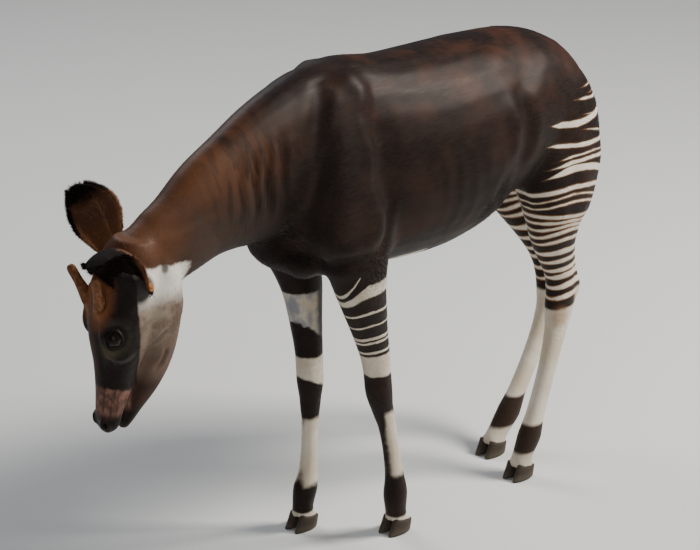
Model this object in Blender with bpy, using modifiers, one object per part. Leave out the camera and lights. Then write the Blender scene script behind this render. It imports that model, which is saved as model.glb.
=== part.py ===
"""A life-size okapi, a young male, standing with its neck lowered and its head hanging.

The body faces -X with its left side at -Y, and stands on the plane z = 0. Each mass of flesh is a
loft through a few stations or a stretched ball. The masses are fused, smoothed and thinned, and
the skin is then parted by thin cuts where a person would name the parts.
"""

import math

import bpy
import bmesh
import numpy as np
from mathutils import Matrix, Vector

# Gap between nodes that meet face to face
GAP = 0.0003
# The curled roots of the ears need a little more round them
EAR_GAP = 0.0008
ACROSS = Vector((0, 1, 0))
UPRIGHT = Vector((0, 0, 1))
FORWARD = Vector((-1, 0, 0))
SIDES = {"left": -1, "right": 1}

# Colour and roughness of each kind of surface
COAT = ((0.060, 0.034, 0.026), 0.55)
NECK_COAT = ((0.110, 0.062, 0.045), 0.60)
FACE_COAT = ((0.150, 0.095, 0.070), 0.60)
LEG_COAT = ((0.420, 0.350, 0.270), 0.60)
LOWER_LEG_COAT = ((0.620, 0.540, 0.430), 0.60)
HOOF = ((0.045, 0.038, 0.033), 0.45)
EYE = ((0.012, 0.008, 0.006), 0.08)
HORN_SKIN = ((0.200, 0.085, 0.040), 0.60)
SURFACES = {
    "torso": COAT,
    "tail": COAT,
    "neck": NECK_COAT,
    "head": FACE_COAT,
    "ear": HORN_SKIN,
    "ossicone": HORN_SKIN,
    "upper_foreleg": COAT,
    "upper_hind_leg": LEG_COAT,
    "lower": LOWER_LEG_COAT,
    "hoof": HOOF,
    "eye": EYE,
}

# Sizes of the voxels that fuse the masses, and triangles left after thinning
BODY_VOXEL = 0.010
BODY_TRIANGLES = 5600
HEAD_VOXEL = 0.004
HEAD_TRIANGLES = 2800

# Trunk: x, y, height of the axis, half width, reach up, reach down
TRUNK = [
    (-0.262, 0, 1.03, 0.045, 0.07, 0.06),
    (-0.225, 0, 1.04, 0.095, 0.15, 0.14),
    (-0.150, 0, 1.06, 0.140, 0.26, 0.20),
    (-0.050, 0, 1.05, 0.168, 0.36, 0.225),
    (0.060, 0, 1.05, 0.188, 0.374, 0.232),
    (0.200, 0, 1.05, 0.215, 0.347, 0.245),
    (0.350, 0, 1.06, 0.232, 0.325, 0.262),
    (0.480, 0, 1.08, 0.232, 0.297, 0.262),
    (0.600, 0, 1.11, 0.215, 0.258, 0.235),
    (0.720, 0, 1.13, 0.196, 0.225, 0.200),
    (0.820, 0, 1.12, 0.172, 0.204, 0.170),
    (0.910, 0, 1.09, 0.138, 0.180, 0.130),
    (0.970, 0, 1.07, 0.100, 0.138, 0.100),
    (1.002, 0, 1.06, 0.060, 0.080, 0.060),
]
# Neck, from inside the skull back into the chest: x, y, z, half width, reach up, reach down
NECK = [
    (-0.770, -0.034, 1.050, 0.050, 0.055, 0.070),
    (-0.700, -0.032, 1.062, 0.066, 0.090, 0.105),
    (-0.640, -0.030, 1.068, 0.072, 0.112, 0.108),
    (-0.560, -0.030, 1.097, 0.078, 0.121, 0.121),
    (-0.460, -0.026, 1.135, 0.086, 0.152, 0.138),
    (-0.350, -0.020, 1.152, 0.098, 0.187, 0.157),
    (-0.240, -0.010, 1.160, 0.114, 0.226, 0.195),
    (-0.130, 0.000, 1.155, 0.130, 0.265, 0.235),
    (-0.020, 0.000, 1.150, 0.140, 0.270, 0.230),
    (0.080, 0.000, 1.150, 0.120, 0.262, 0.200),
]

# Legs. Each list runs from the foot up: x, y, z, half width, reach forward, reach back
FORELEG = {
    "left": [
        (0.180, -0.096, 0.030, 0.029, 0.036, 0.038),
        (0.174, -0.100, 0.075, 0.030, 0.033, 0.037),
        (0.169, -0.102, 0.125, 0.034, 0.037, 0.044),
        (0.164, -0.103, 0.175, 0.027, 0.028, 0.037),
        (0.152, -0.103, 0.260, 0.0235, 0.026, 0.031),
        (0.135, -0.102, 0.350, 0.025, 0.028, 0.032),
        (0.115, -0.102, 0.415, 0.034, 0.037, 0.038),
        (0.103, -0.103, 0.465, 0.041, 0.043, 0.043),
        (0.094, -0.106, 0.515, 0.040, 0.043, 0.043),
        (0.082, -0.112, 0.570, 0.040, 0.047, 0.047),
        (0.056, -0.122, 0.650, 0.044, 0.058, 0.052),
        (0.026, -0.133, 0.740, 0.054, 0.074, 0.062),
        (-0.002, -0.140, 0.830, 0.063, 0.092, 0.078),
        (-0.018, -0.142, 0.920, 0.064, 0.118, 0.105),
        (-0.036, -0.138, 1.010, 0.061, 0.140, 0.118),
        (-0.040, -0.125, 1.110, 0.056, 0.125, 0.115),
        (-0.020, -0.105, 1.220, 0.048, 0.095, 0.115),
        (0.015, -0.075, 1.320, 0.036, 0.070, 0.095),
        (0.035, -0.055, 1.370, 0.018, 0.040, 0.050),
    ],
    "right": [
        (0.008, 0.107, 0.030, 0.029, 0.036, 0.038),
        (0.007, 0.104, 0.075, 0.030, 0.033, 0.037),
        (0.013, 0.101, 0.125, 0.034, 0.037, 0.044),
        (0.020, 0.097, 0.175, 0.027, 0.028, 0.037),
        (0.022, 0.092, 0.260, 0.0235, 0.026, 0.031),
        (0.021, 0.087, 0.350, 0.025, 0.028, 0.032),
        (0.020, 0.084, 0.415, 0.034, 0.037, 0.038),
        (0.020, 0.084, 0.460, 0.041, 0.043, 0.043),
        (0.020, 0.086, 0.510, 0.040, 0.043, 0.043),
        (0.023, 0.093, 0.565, 0.040, 0.047, 0.047),
        (0.027, 0.106, 0.645, 0.044, 0.058, 0.052),
        (0.031, 0.122, 0.740, 0.054, 0.074, 0.062),
        (0.015, 0.136, 0.830, 0.063, 0.092, 0.078),
        (-0.010, 0.142, 0.920, 0.064, 0.118, 0.105),
        (-0.036, 0.138, 1.010, 0.061, 0.140, 0.118),
        (-0.040, 0.125, 1.110, 0.056, 0.125, 0.115),
        (-0.020, 0.105, 1.220, 0.048, 0.095, 0.115),
        (0.015, 0.075, 1.320, 0.036, 0.070, 0.095),
        (0.035, 0.055, 1.370, 0.018, 0.040, 0.050),
    ],
}
HIND_LEG = {
    "left": [
        (0.684, -0.112, 0.030, 0.029, 0.036, 0.038),
        (0.696, -0.116, 0.078, 0.030, 0.033, 0.037),
        (0.716, -0.120, 0.130, 0.034, 0.037, 0.045),
        (0.733, -0.122, 0.185, 0.027, 0.029, 0.038),
        (0.771, -0.122, 0.285, 0.026, 0.029, 0.036),
        (0.805, -0.120, 0.385, 0.028, 0.033, 0.039),
        (0.824, -0.118, 0.450, 0.033, 0.043, 0.050),
        (0.832, -0.118, 0.505, 0.037, 0.052, 0.060),
        (0.834, -0.120, 0.560, 0.036, 0.052, 0.060),
        (0.822, -0.124, 0.620, 0.038, 0.052, 0.054),
        (0.798, -0.132, 0.690, 0.048, 0.068, 0.066),
        (0.780, -0.140, 0.770, 0.064, 0.095, 0.090),
        (0.780, -0.142, 0.860, 0.078, 0.125, 0.128),
        (0.790, -0.132, 0.950, 0.086, 0.150, 0.168),
        (0.795, -0.120, 1.050, 0.086, 0.145, 0.168),
        (0.785, -0.105, 1.150, 0.078, 0.120, 0.148),
        (0.765, -0.085, 1.240, 0.060, 0.080, 0.090),
    ],
    "right": [
        (0.742, 0.052, 0.030, 0.029, 0.036, 0.038),
        (0.772, 0.052, 0.068, 0.030, 0.033, 0.037),
        (0.814, 0.050, 0.120, 0.034, 0.037, 0.045),
        (0.844, 0.050, 0.170, 0.027, 0.029, 0.038),
        (0.902, 0.050, 0.262, 0.026, 0.029, 0.036),
        (0.952, 0.051, 0.352, 0.028, 0.033, 0.039),
        (0.980, 0.053, 0.415, 0.033, 0.043, 0.050),
        (0.992, 0.056, 0.470, 0.037, 0.052, 0.060),
        (0.990, 0.061, 0.525, 0.036, 0.052, 0.060),
        (0.974, 0.070, 0.590, 0.038, 0.052, 0.054),
        (0.944, 0.086, 0.670, 0.048, 0.066, 0.064),
        (0.906, 0.106, 0.760, 0.064, 0.090, 0.092),
        (0.866, 0.124, 0.855, 0.078, 0.120, 0.132),
        (0.824, 0.128, 0.950, 0.086, 0.150, 0.168),
        (0.805, 0.120, 1.050, 0.086, 0.145, 0.168),
        (0.787, 0.105, 1.150, 0.078, 0.120, 0.148),
        (0.765, 0.085, 1.240, 0.060, 0.080, 0.090),
    ],
}
# Points of the hocks, each a short heel bone behind its joint, and the way up its tendon
HOCK_POINT = {"left": (0.908, -0.118, 0.553), "right": (1.062, 0.058, 0.523)}
TENDON_TOP = {"left": (0.862, -0.132, 0.700), "right": (0.999, 0.088, 0.690)}

# Planes that part the skin: a point, and the way of the kept far side
THROAT = ((-0.635, -0.030, 1.050), (-0.84, 0.0, -0.54))
NECK_BASE = ((-0.235, 0.0, 1.190), (-0.955, 0.0, 0.297))
FORELEG_TOP = ((0.0, 0.0, 0.790), (0.0, 0.0, -1.0))
HIND_LEG_TOP = ((0.60, 0.0, 0.828), (0.316, 0.0, -0.949))
KNEE_CUT = {"left": 0.400, "right": 0.400}
HOCK_CUT = {"left": 0.430, "right": 0.395}
# Between fore and hind limbs, for the boxes that take a limb off
FORE_SPAN = (-0.40, 0.28)
HIND_SPAN = (0.50, 1.30)

# The head is laid out level, nose at -X and poll at the origin, then hung on the neck
HEAD_PLACE = (
    Matrix.Translation((-0.719, -0.035, 1.095))
    @ Matrix.Rotation(math.radians(-18), 4, "Z")
    @ Matrix.Rotation(math.radians(-80), 4, "Y")
)
SKULL = [
    (-0.492, 0, 0.002, 0.022, 0.010, 0.010),
    (-0.478, 0, 0.002, 0.036, 0.021, 0.020),
    (-0.445, 0, 0.000, 0.043, 0.034, 0.028),
    (-0.400, 0, 0.000, 0.048, 0.040, 0.042),
    (-0.350, 0, 0.000, 0.056, 0.048, 0.054),
    (-0.300, 0, 0.000, 0.064, 0.060, 0.062),
    (-0.250, 0, 0.000, 0.076, 0.077, 0.078),
    (-0.200, 0, 0.000, 0.084, 0.089, 0.090),
    (-0.150, 0, 0.000, 0.087, 0.096, 0.095),
    (-0.100, 0, 0.000, 0.085, 0.096, 0.096),
    (-0.050, 0, 0.000, 0.080, 0.088, 0.090),
    (0.000, 0, 0.000, 0.070, 0.074, 0.078),
    (0.040, 0, 0.000, 0.050, 0.050, 0.055),
]
JAW = [
    (-0.484, 0, -0.040, 0.014, 0.007, 0.010),
    (-0.466, 0, -0.044, 0.027, 0.013, 0.019),
    (-0.420, 0, -0.058, 0.032, 0.020, 0.031),
    (-0.377, 0, -0.070, 0.035, 0.025, 0.047),
    (-0.340, 0, -0.080, 0.040, 0.030, 0.055),
    (-0.290, 0, -0.092, 0.046, 0.035, 0.061),
    (-0.230, 0, -0.098, 0.056, 0.045, 0.063),
    (-0.150, 0, -0.096, 0.066, 0.055, 0.063),
    (-0.090, 0, -0.088, 0.068, 0.055, 0.060),
    (-0.040, 0, -0.075, 0.060, 0.050, 0.058),
    (-0.005, 0, -0.050, 0.045, 0.035, 0.045),
]
EYE_CENTRE = (-0.208, 0.065, 0.046)
EYE_RADIUS = 0.0240
LID_THICKNESS = 0.0045
EYE_OPENING = (0.0215, 0.020, 0.0162)
MOUTH_CORNER = (-0.357, -0.052)
MOUTH_FRONT = (-0.500, -0.021)
MOUTH_DEPTH = 0.018
MOUTH_OPEN = (0.0016, 0.0075)
NOSTRIL = (-0.460, 0.031, 0.018)
OSSICONE_ROOT = (-0.145, 0.037, 0.078)
OSSICONE_LEAN = (0.76, 0.46, 0.46)
# Along the horn: part of its length, radius
OSSICONE = [(0, 0.022), (0.3, 0.0165), (0.6, 0.0125), (0.86, 0.0130), (0.96, 0.010), (1, 0.005)]
OSSICONE_LENGTH = 0.105

# Ears: root, the way the tip points, and the way the hollow faces, in the body's frame
EAR_LENGTH = 0.206
# How far the spine of the ear bends in toward the skull at its root
EAR_SINK = 0.022
EAR_WALL = 0.005
EARS = {
    "left": ((-0.735, -0.110, 1.015), (-0.845, -0.02, 0.534), (-0.30, -0.42, -0.84)),
    "right": ((-0.700, 0.036, 1.052), (0.00, 0.64, 0.77), (-0.74, -0.52, 0.36)),
}
# Along the ear: part of its length, half of the arc across it, half of its curl in radians
EAR_ROWS = [
    (0.00, 0.052, 2.30),
    (0.18, 0.062, 1.75),
    (0.38, 0.080, 1.25),
    (0.58, 0.085, 1.00),
    (0.76, 0.076, 0.85),
    (0.90, 0.051, 0.80),
    (0.97, 0.030, 0.80),
    (1.00, 0.010, 0.80),
]

TAIL = [
    (0.930, 0.000, 1.190, 0.026, 0.026, 0.026),
    (0.985, 0.002, 1.160, 0.025, 0.026, 0.025),
    (1.026, 0.004, 1.100, 0.021, 0.022, 0.021),
    (1.046, 0.008, 1.020, 0.016, 0.017, 0.016),
    (1.052, 0.014, 0.940, 0.012, 0.013, 0.012),
    (1.050, 0.020, 0.870, 0.010, 0.010, 0.010),
    (1.047, 0.024, 0.820, 0.006, 0.006, 0.006),
]
TAIL_LOCKS = 16
LOCK_LENGTH = 0.120
LOCK_WIDTH = 0.011

# One claw, up from the ground: x, side step, z, half width, reach forward, reach back
CLAW = [
    (0.000, 0.0, 0.000, 0.0170, 0.050, 0.034),
    (0.003, 0.0, 0.006, 0.0175, 0.050, 0.035),
    (0.008, 0.0, 0.030, 0.0165, 0.042, 0.034),
    (0.014, 0.0, 0.064, 0.0150, 0.034, 0.032),
]
CLAW_STEP = 0.0195
# The coronet slopes from a high toe down to the heel
CORONET_HEIGHT = 0.046
CORONET_SLOPE = (0.26, 0.0, 0.966)


def clear_scene():
    for obj in list(bpy.data.objects):
        bpy.data.objects.remove(obj)


def smooth_rows(rows, steps):
    """Rows read from one smooth curve through the given ones, with steps to each span."""
    table = np.array(rows, float)
    padded = np.vstack([2 * table[0] - table[1], table, 2 * table[-1] - table[-2]])
    found = []
    for i in range(len(table) - 1):
        a, b, c, d = padded[i : i + 4]
        for t in np.arange(steps) / steps:
            bend = 2 * a - 5 * b + 4 * c - d
            twist = 3 * b - a - 3 * c + d
            found.append(0.5 * (2 * b + (c - a) * t + bend * t ** 2 + twist * t ** 3))
    found.append(table[-1])
    return np.array(found)


def new_object(name, bm):
    mesh = bpy.data.meshes.new(name)
    bmesh.ops.recalc_face_normals(bm, faces=bm.faces)
    if bm.calc_volume(signed=True) < 0:
        bmesh.ops.reverse_faces(bm, faces=bm.faces)
    bm.to_mesh(mesh)
    bm.free()
    obj = bpy.data.objects.new(name, mesh)
    bpy.context.scene.collection.objects.link(obj)
    return obj


def bridge(bm, low, high, around=True):
    """Two triangles for each cell between two rows, always with the same diagonal."""
    count = len(low)
    for k in range(count if around else count - 1):
        m = (k + 1) % count
        bm.faces.new((low[k], low[m], high[m]))
        bm.faces.new((low[k], high[m], high[k]))


def loft(name, rows, sides=20, steps=3, place=None, grow=0.0, level=None):
    """A closed tube through stations: x, y, z, half width, then its reach on the two other sides.

    The stations lie square to the path, or all alike where level names the way of their reach.
    """
    rows = smooth_rows(rows, steps)
    lean = np.gradient(rows[:, :3], axis=0)
    for end, push in ((0, -grow), (-1, grow)):
        rows[end, :3] += lean[end] / np.linalg.norm(lean[end]) * push
    bm = bmesh.new()
    rings = []
    for (x, y, z, wide, over, under), along in zip(rows, lean):
        along = Vector(along).normalized()
        top = level or along.cross(ACROSS).normalized()
        side = ACROSS if level else top.cross(along)
        ring = []
        for k in range(sides):
            turn = 2 * math.pi * k / sides
            reach = (over if math.cos(turn) > 0 else under) + grow
            spot = Vector((x, y, z)) + side * (wide + grow) * math.sin(turn)
            ring.append(bm.verts.new(spot + top * reach * math.cos(turn)))
        rings.append(ring)
    for low, high in zip(rings, rings[1:]):
        bridge(bm, low, high)
    bm.faces.new(rings[0])
    bm.faces.new(rings[-1])
    obj = new_object(name, bm)
    if place:
        obj.data.transform(place)
    return obj


def ball(name, centre, radii, lean=(0, 0, 0), place=None, segments=20):
    """A stretched ball, turned by lean in degrees about X, Y and Z."""
    bm = bmesh.new()
    bmesh.ops.create_uvsphere(bm, u_segments=segments, v_segments=segments // 2 + 2, radius=1)
    turn = Matrix.Identity(4)
    for angle, axis in zip(lean, "XYZ"):
        turn = Matrix.Rotation(math.radians(angle), 4, axis) @ turn
    bm.transform(Matrix.Translation(centre) @ turn @ Matrix.Diagonal((*radii, 1)))
    if place:
        bm.transform(place)
    return new_object(name, bm)


def apply_modifiers(obj):
    graph = bpy.context.evaluated_depsgraph_get()
    mesh = bpy.data.meshes.new_from_object(obj.evaluated_get(graph))
    obj.modifiers.clear()
    obj.data = mesh
    return obj


def join(name, pieces):
    bm = bmesh.new()
    for piece in pieces:
        bm.from_mesh(piece.data)
        bpy.data.objects.remove(piece)
    return new_object(name, bm)


def thin_out(obj, triangles):
    obj.data.calc_loop_triangles()
    thin = obj.modifiers.new("thin", "DECIMATE")
    thin.ratio = min(1, triangles / len(obj.data.loop_triangles))
    return apply_modifiers(obj)


def fuse(name, pieces, voxel, rounds, triangles):
    """Fuses overlapping masses into one skin, eases the joins and thins the mesh."""
    obj = join(name, pieces)
    remesh = obj.modifiers.new("skin", "REMESH")
    remesh.mode = "VOXEL"
    remesh.voxel_size = voxel
    ease = obj.modifiers.new("ease", "SMOOTH")
    ease.factor = 0.5
    ease.iterations = rounds
    apply_modifiers(obj)
    return thin_out(obj, triangles)


def combine(obj, others, operation, solver="EXACT"):
    """One Boolean of the object with a collection of others, applied, and the others removed."""
    group = bpy.data.collections.new("cutters")
    bpy.context.scene.collection.children.link(group)
    for other in others:
        bpy.context.scene.collection.objects.unlink(other)
        group.objects.link(other)
        other.hide_render = True
        other.display_type = "WIRE"
    change = obj.modifiers.new("change", "BOOLEAN")
    change.operand_type = "COLLECTION"
    change.collection = group
    change.operation = operation
    change.solver = solver
    apply_modifiers(obj)
    for other in others:
        bpy.data.objects.remove(other)
    bpy.data.collections.remove(group)
    return keep_largest(obj)


def keep_largest(obj):
    """Leaves only the largest closed surface of the mesh."""
    bm = bmesh.new()
    bm.from_mesh(obj.data)
    bm.verts.ensure_lookup_table()
    seen = set()
    shells = []
    for start in bm.verts:
        if start in seen:
            continue
        seen.add(start)
        shell = [start]
        for vert in shell:
            for edge in vert.link_edges:
                other = edge.other_vert(vert)
                if other not in seen:
                    seen.add(other)
                    shell.append(other)
        shells.append(shell)
    shells.sort(key=len)
    small = [vert for shell in shells[:-1] for vert in shell]
    bmesh.ops.delete(bm, geom=small, context="VERTS")
    bm.to_mesh(obj.data)
    bm.free()
    return obj


def halve(obj, plane, keep=1):
    """Keeps the half before (1) or behind (-1) the plane, half a gap away, with a flat face."""
    point, normal = Vector(plane[0]), Vector(plane[1]).normalized()
    bm = bmesh.new()
    bm.from_mesh(obj.data)
    cut = bmesh.ops.bisect_plane(
        bm,
        geom=bm.verts[:] + bm.edges[:] + bm.faces[:],
        plane_co=point + normal * keep * GAP / 2,
        plane_no=normal * keep,
        clear_inner=True,
    )
    rim = [item for item in cut["geom_cut"] if isinstance(item, bmesh.types.BMEdge)]
    bmesh.ops.holes_fill(bm, edges=rim, sides=0)
    bmesh.ops.triangulate(bm, faces=[face for face in bm.faces if len(face.verts) > 4])
    bmesh.ops.recalc_face_normals(bm, faces=bm.faces)
    bm.to_mesh(obj.data)
    bm.free()
    return obj


def twin(obj, name):
    """A copy of the object under another name."""
    other = bpy.data.objects.new(name, obj.data.copy())
    bpy.context.scene.collection.objects.link(other)
    return other


def block(name, low, high):
    bm = bmesh.new()
    bmesh.ops.create_cube(bm, size=1)
    size = Vector(high) - Vector(low)
    middle = (Vector(low) + Vector(high)) / 2
    bm.transform(Matrix.Translation(middle) @ Matrix.Diagonal((*size, 1)))
    return new_object(name, bm)


def body_masses():
    """Trunk, neck, legs and the muscles between them."""
    masses = [loft("trunk", TRUNK, 28, level=UPRIGHT), loft("neck", NECK, 24)]
    for side, sign in SIDES.items():
        masses.append(loft("foreleg", FORELEG[side]))
        masses.append(loft("hind_leg", HIND_LEG[side]))
        hock, shin = Vector(HOCK_POINT[side]), Vector(TENDON_TOP[side])
        heel = hock + Vector((-0.020, 0, -0.050))
        masses.append(loft("heel", [
            (*heel, 0.016, 0.020, 0.016),
            (*hock, 0.020, 0.026, 0.019),
            (*(hock * 0.6 + shin * 0.4), 0.012, 0.016, 0.013),
            (*shin, 0.018, 0.026, 0.018),
        ]))
        masses.append(ball("hip", (0.640, 0.148 * sign, 1.210), (0.060, 0.038, 0.045)))
        masses.append(ball("triceps", (0.000, 0.152 * sign, 0.975), (0.115, 0.046, 0.125)))
        masses.append(ball("breast", (-0.130, 0.055 * sign, 0.940), (0.080, 0.060, 0.090)))
    return masses


def head_masses():
    masses = [
        loft("skull", SKULL, 24, 3, HEAD_PLACE),
        loft("jaw", JAW, 20, 3, HEAD_PLACE),
        loft("nape", NECK, 24),
    ]
    halve(masses[-1], ((-0.56, 0, 1.08), THROAT[1]))
    lid = EYE_RADIUS + LID_THICKNESS
    for sign in SIDES.values():
        x, y, z = EYE_CENTRE
        for name, centre, radii in (
            ("brow", (-0.188, 0.060 * sign, 0.064), (0.052, 0.024, 0.022)),
            ("cheek", (-0.140, 0.046 * sign, -0.068), (0.100, 0.030, 0.078)),
            ("lids", (x, y * sign, z), (lid, lid, lid)),
            ("upper_lip", (-0.440, 0.026 * sign, -0.004), (0.042, 0.020, 0.020)),
            ("nose_wing", (-0.458, 0.025 * sign, 0.014), (0.024, 0.016, 0.018)),
            ("horn_boss", (-0.135, 0.044 * sign, 0.076), (0.036, 0.028, 0.026)),
            ("ear_root", (-0.066, 0.066 * sign, -0.008), (0.044, 0.030, 0.042)),
        ):
            masses.append(ball(name, centre, radii, place=HEAD_PLACE))
    return masses


def ear(name, side, grow=0.0):
    """A hollow leaf of gristle: a tube at its root that opens to a broad oval cup."""
    root, tip_way, hollow_way = (Vector(v) for v in EARS[side])
    along = tip_way.normalized()
    open_way = (hollow_way - hollow_way.dot(along) * along).normalized()
    across = along.cross(open_way)
    columns = 8
    bm = bmesh.new()
    rows = []
    for t, arc, curl in smooth_rows(EAR_ROWS, 2):
        radius = arc / curl
        sweep = (arc + grow) / radius
        centre = root + along * (EAR_LENGTH * t - grow * (t == 0))
        centre -= open_way * EAR_SINK * (1 - t) ** 3
        row = []
        for j in range(columns + 1):
            turn = sweep * (2 * j / columns - 1)
            row.append(bm.verts.new(
                centre + across * radius * math.sin(turn) - open_way * radius * math.cos(turn)
                + open_way * 0.024
            ))
        rows.append(row)
    for low, high in zip(rows, rows[1:]):
        bridge(bm, low, high, around=False)
    obj = new_object(name, bm)
    wall = obj.modifiers.new("wall", "SOLIDIFY")
    wall.thickness = EAR_WALL + 2 * grow
    wall.offset = 0
    return apply_modifiers(obj)


def ossicone(name, sign, grow=0.0):
    x, y, z = OSSICONE_ROOT
    root = HEAD_PLACE @ Vector((x, y * sign, z))
    x, y, z = OSSICONE_LEAN
    way = (HEAD_PLACE.to_3x3() @ Vector((x, y * sign, z))).normalized()
    rows = [(*(root + way * OSSICONE_LENGTH * t), r, r, r) for t, r in OSSICONE]
    return loft(name, rows, 12, 2, grow=grow)


def eyeball(name, sign, grow=0.0):
    x, y, z = EYE_CENTRE
    return ball(name, (x, y * sign, z), (EYE_RADIUS + grow,) * 3, place=HEAD_PLACE, segments=16)


def mouth_cutter():
    """A wedge along the mouth line, open at the lips and closed round a core of jaw."""
    bm = bmesh.new()
    verts = {}
    for where, (x, z), open_by in (
        ("corner", MOUTH_CORNER, MOUTH_OPEN[0]),
        ("front", MOUTH_FRONT, MOUTH_OPEN[1]),
    ):
        for y in (-0.08, 0.08):
            for lift in (-0.5, 0.5):
                verts[where, y, lift] = bm.verts.new((x, y, z + open_by * lift))
    bmesh.ops.convex_hull(bm, input=list(verts.values()))
    bm.transform(HEAD_PLACE)
    wedge = new_object("mouth", bm)
    core_rows = [
        (-0.300, 0, -0.045, 0.034, 0.05, 0.05),
        (-0.400, 0, -0.045, 0.043 - MOUTH_DEPTH, 0.05, 0.05),
        (-0.490 + MOUTH_DEPTH, 0, -0.045, 0.036 - MOUTH_DEPTH, 0.05, 0.05),
    ]
    core = loft("core", core_rows, 16, 2, HEAD_PLACE)
    return combine(wedge, [core], "DIFFERENCE")


def head_cutters():
    cutters = [mouth_cutter()]
    for side, sign in SIDES.items():
        x, y, z = EYE_CENTRE
        outer = (x - 0.002, (y + EYE_RADIUS) * sign, z + 0.001)
        cutters.append(ball("opening", outer, EYE_OPENING, (0, 0, -9 * sign), HEAD_PLACE, 16))
        cutters.append(eyeball("socket", sign, GAP))
        cutters.append(ossicone("horn_socket", sign, GAP))
        x, y, z = NOSTRIL
        cutters.append(ball("nostril", (x - 0.004, y * sign, z), (0.012, 0.010, 0.0045),
                            (0, 40, -28 * sign), HEAD_PLACE, 12))
        cutters.append(ball("nostril_slit", (x + 0.008, (y + 0.006) * sign, z + 0.007),
                            (0.010, 0.006, 0.003), (0, 15, -12 * sign), HEAD_PLACE, 12))
    return cutters


def lock(name, root, way, flat, length, width):
    """A flat tapered lock of hair, thickest near its root, curving a little toward the ground."""
    way, flat = way.normalized(), flat.normalized()
    thick = way.cross(flat).normalized()
    flat = thick.cross(way)
    bm = bmesh.new()
    rings = []
    for t, share in ((0, 0.7), (0.3, 1), (0.65, 0.8), (0.9, 0.4)):
        middle = root + way * length * t - Vector((0, 0, 1)) * length * 0.12 * t * t
        half, slim = width * share / 2, width * share / 5
        rings.append([
            bm.verts.new(middle + flat * half),
            bm.verts.new(middle + thick * slim),
            bm.verts.new(middle - flat * half),
            bm.verts.new(middle - thick * slim),
        ])
    tip = bm.verts.new(root + way * length - Vector((0, 0, 1)) * length * 0.14)
    for low, high in zip(rings, rings[1:]):
        bridge(bm, low, high)
    for k in range(4):
        bm.faces.new((rings[-1][k], rings[-1][(k + 1) % 4], tip))
    bm.faces.new(rings[0])
    return new_object(name, bm)


def tail():
    rod = loft("tail", TAIL, 10, 2)
    chance = np.random.default_rng(5)
    rows = smooth_rows(TAIL, 8)[26:]
    locks = []
    for i in range(TAIL_LOCKS):
        x, y, z, r = rows[int(i * (len(rows) - 1) / (TAIL_LOCKS - 1))][:4]
        turn = i * 2.4 + chance.uniform(-0.3, 0.3)
        out = Vector((math.cos(turn), math.sin(turn), 0))
        way = Vector((0, 0, -1)) + out * chance.uniform(0.10, 0.22)
        length = LOCK_LENGTH * chance.uniform(0.75, 1.15)
        root = Vector((x, y, z)) + out * r * 0.45
        locks.append(lock("lock", root, way, out.cross(way), length, LOCK_WIDTH))
    return combine(rod, locks, "UNION")


def claws(leg, place):
    """The two claws of one foot, cut off level with the coronet."""
    x, y = place
    coronet = ((x, y, CORONET_HEIGHT), CORONET_SLOPE)
    for part, sign in (("inner", 1 if y < 0 else -1), ("outer", -1 if y < 0 else 1)):
        rows = [(x + dx, y + CLAW_STEP * sign, z, wide, over, under)
                for dx, _, z, wide, over, under in CLAW]
        claw = loft("hoof_" + leg + "_" + part, rows, 12, 1, level=FORWARD)
        halve(claw, coronet, -1)
    return coronet


def limb(body, name, box, top, cut, rows, foot):
    """Takes one limb off the body: an upper part from the fused skin and a lofted lower part."""
    region = halve(block("region", *box), top)
    room = halve(block("room", *box), (Vector(top[0]) - Vector(top[1]).normalized() * GAP, top[1]))
    upper = twin(body, "upper_" + name)
    combine(upper, [region], "INTERSECT")
    combine(body, [room], "DIFFERENCE")
    joint = ((0, 0, cut), (0, 0, 1))
    halve(upper, joint)
    lower = loft("lower_" + name, rows, 14, 2)
    halve(lower, joint, -1)
    coronet = claws(name, foot)
    halve(lower, coronet)


def paint():
    """Gives each node a material of its own, by the start of its name."""
    for obj in bpy.context.scene.collection.objects:
        colour, roughness = next(s for start, s in SURFACES.items() if obj.name.startswith(start))
        material = bpy.data.materials.new(obj.name)
        material.use_nodes = True
        surface = material.node_tree.nodes["Principled BSDF"]
        surface.inputs["Base Color"].default_value = (*colour, 1)
        surface.inputs["Roughness"].default_value = roughness
        obj.data.materials.clear()
        obj.data.materials.append(material)


def settle():
    """Moves the whole animal so that the middle of its outline on the ground is the origin."""
    nodes = list(bpy.context.scene.collection.objects)
    spots = np.array([vert.co[:] for obj in nodes for vert in obj.data.vertices])
    middle = (spots.min(axis=0) + spots.max(axis=0)) / 2
    step = Matrix.Translation((-middle[0], -middle[1], 0))
    for obj in nodes:
        obj.data.transform(step)


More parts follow.
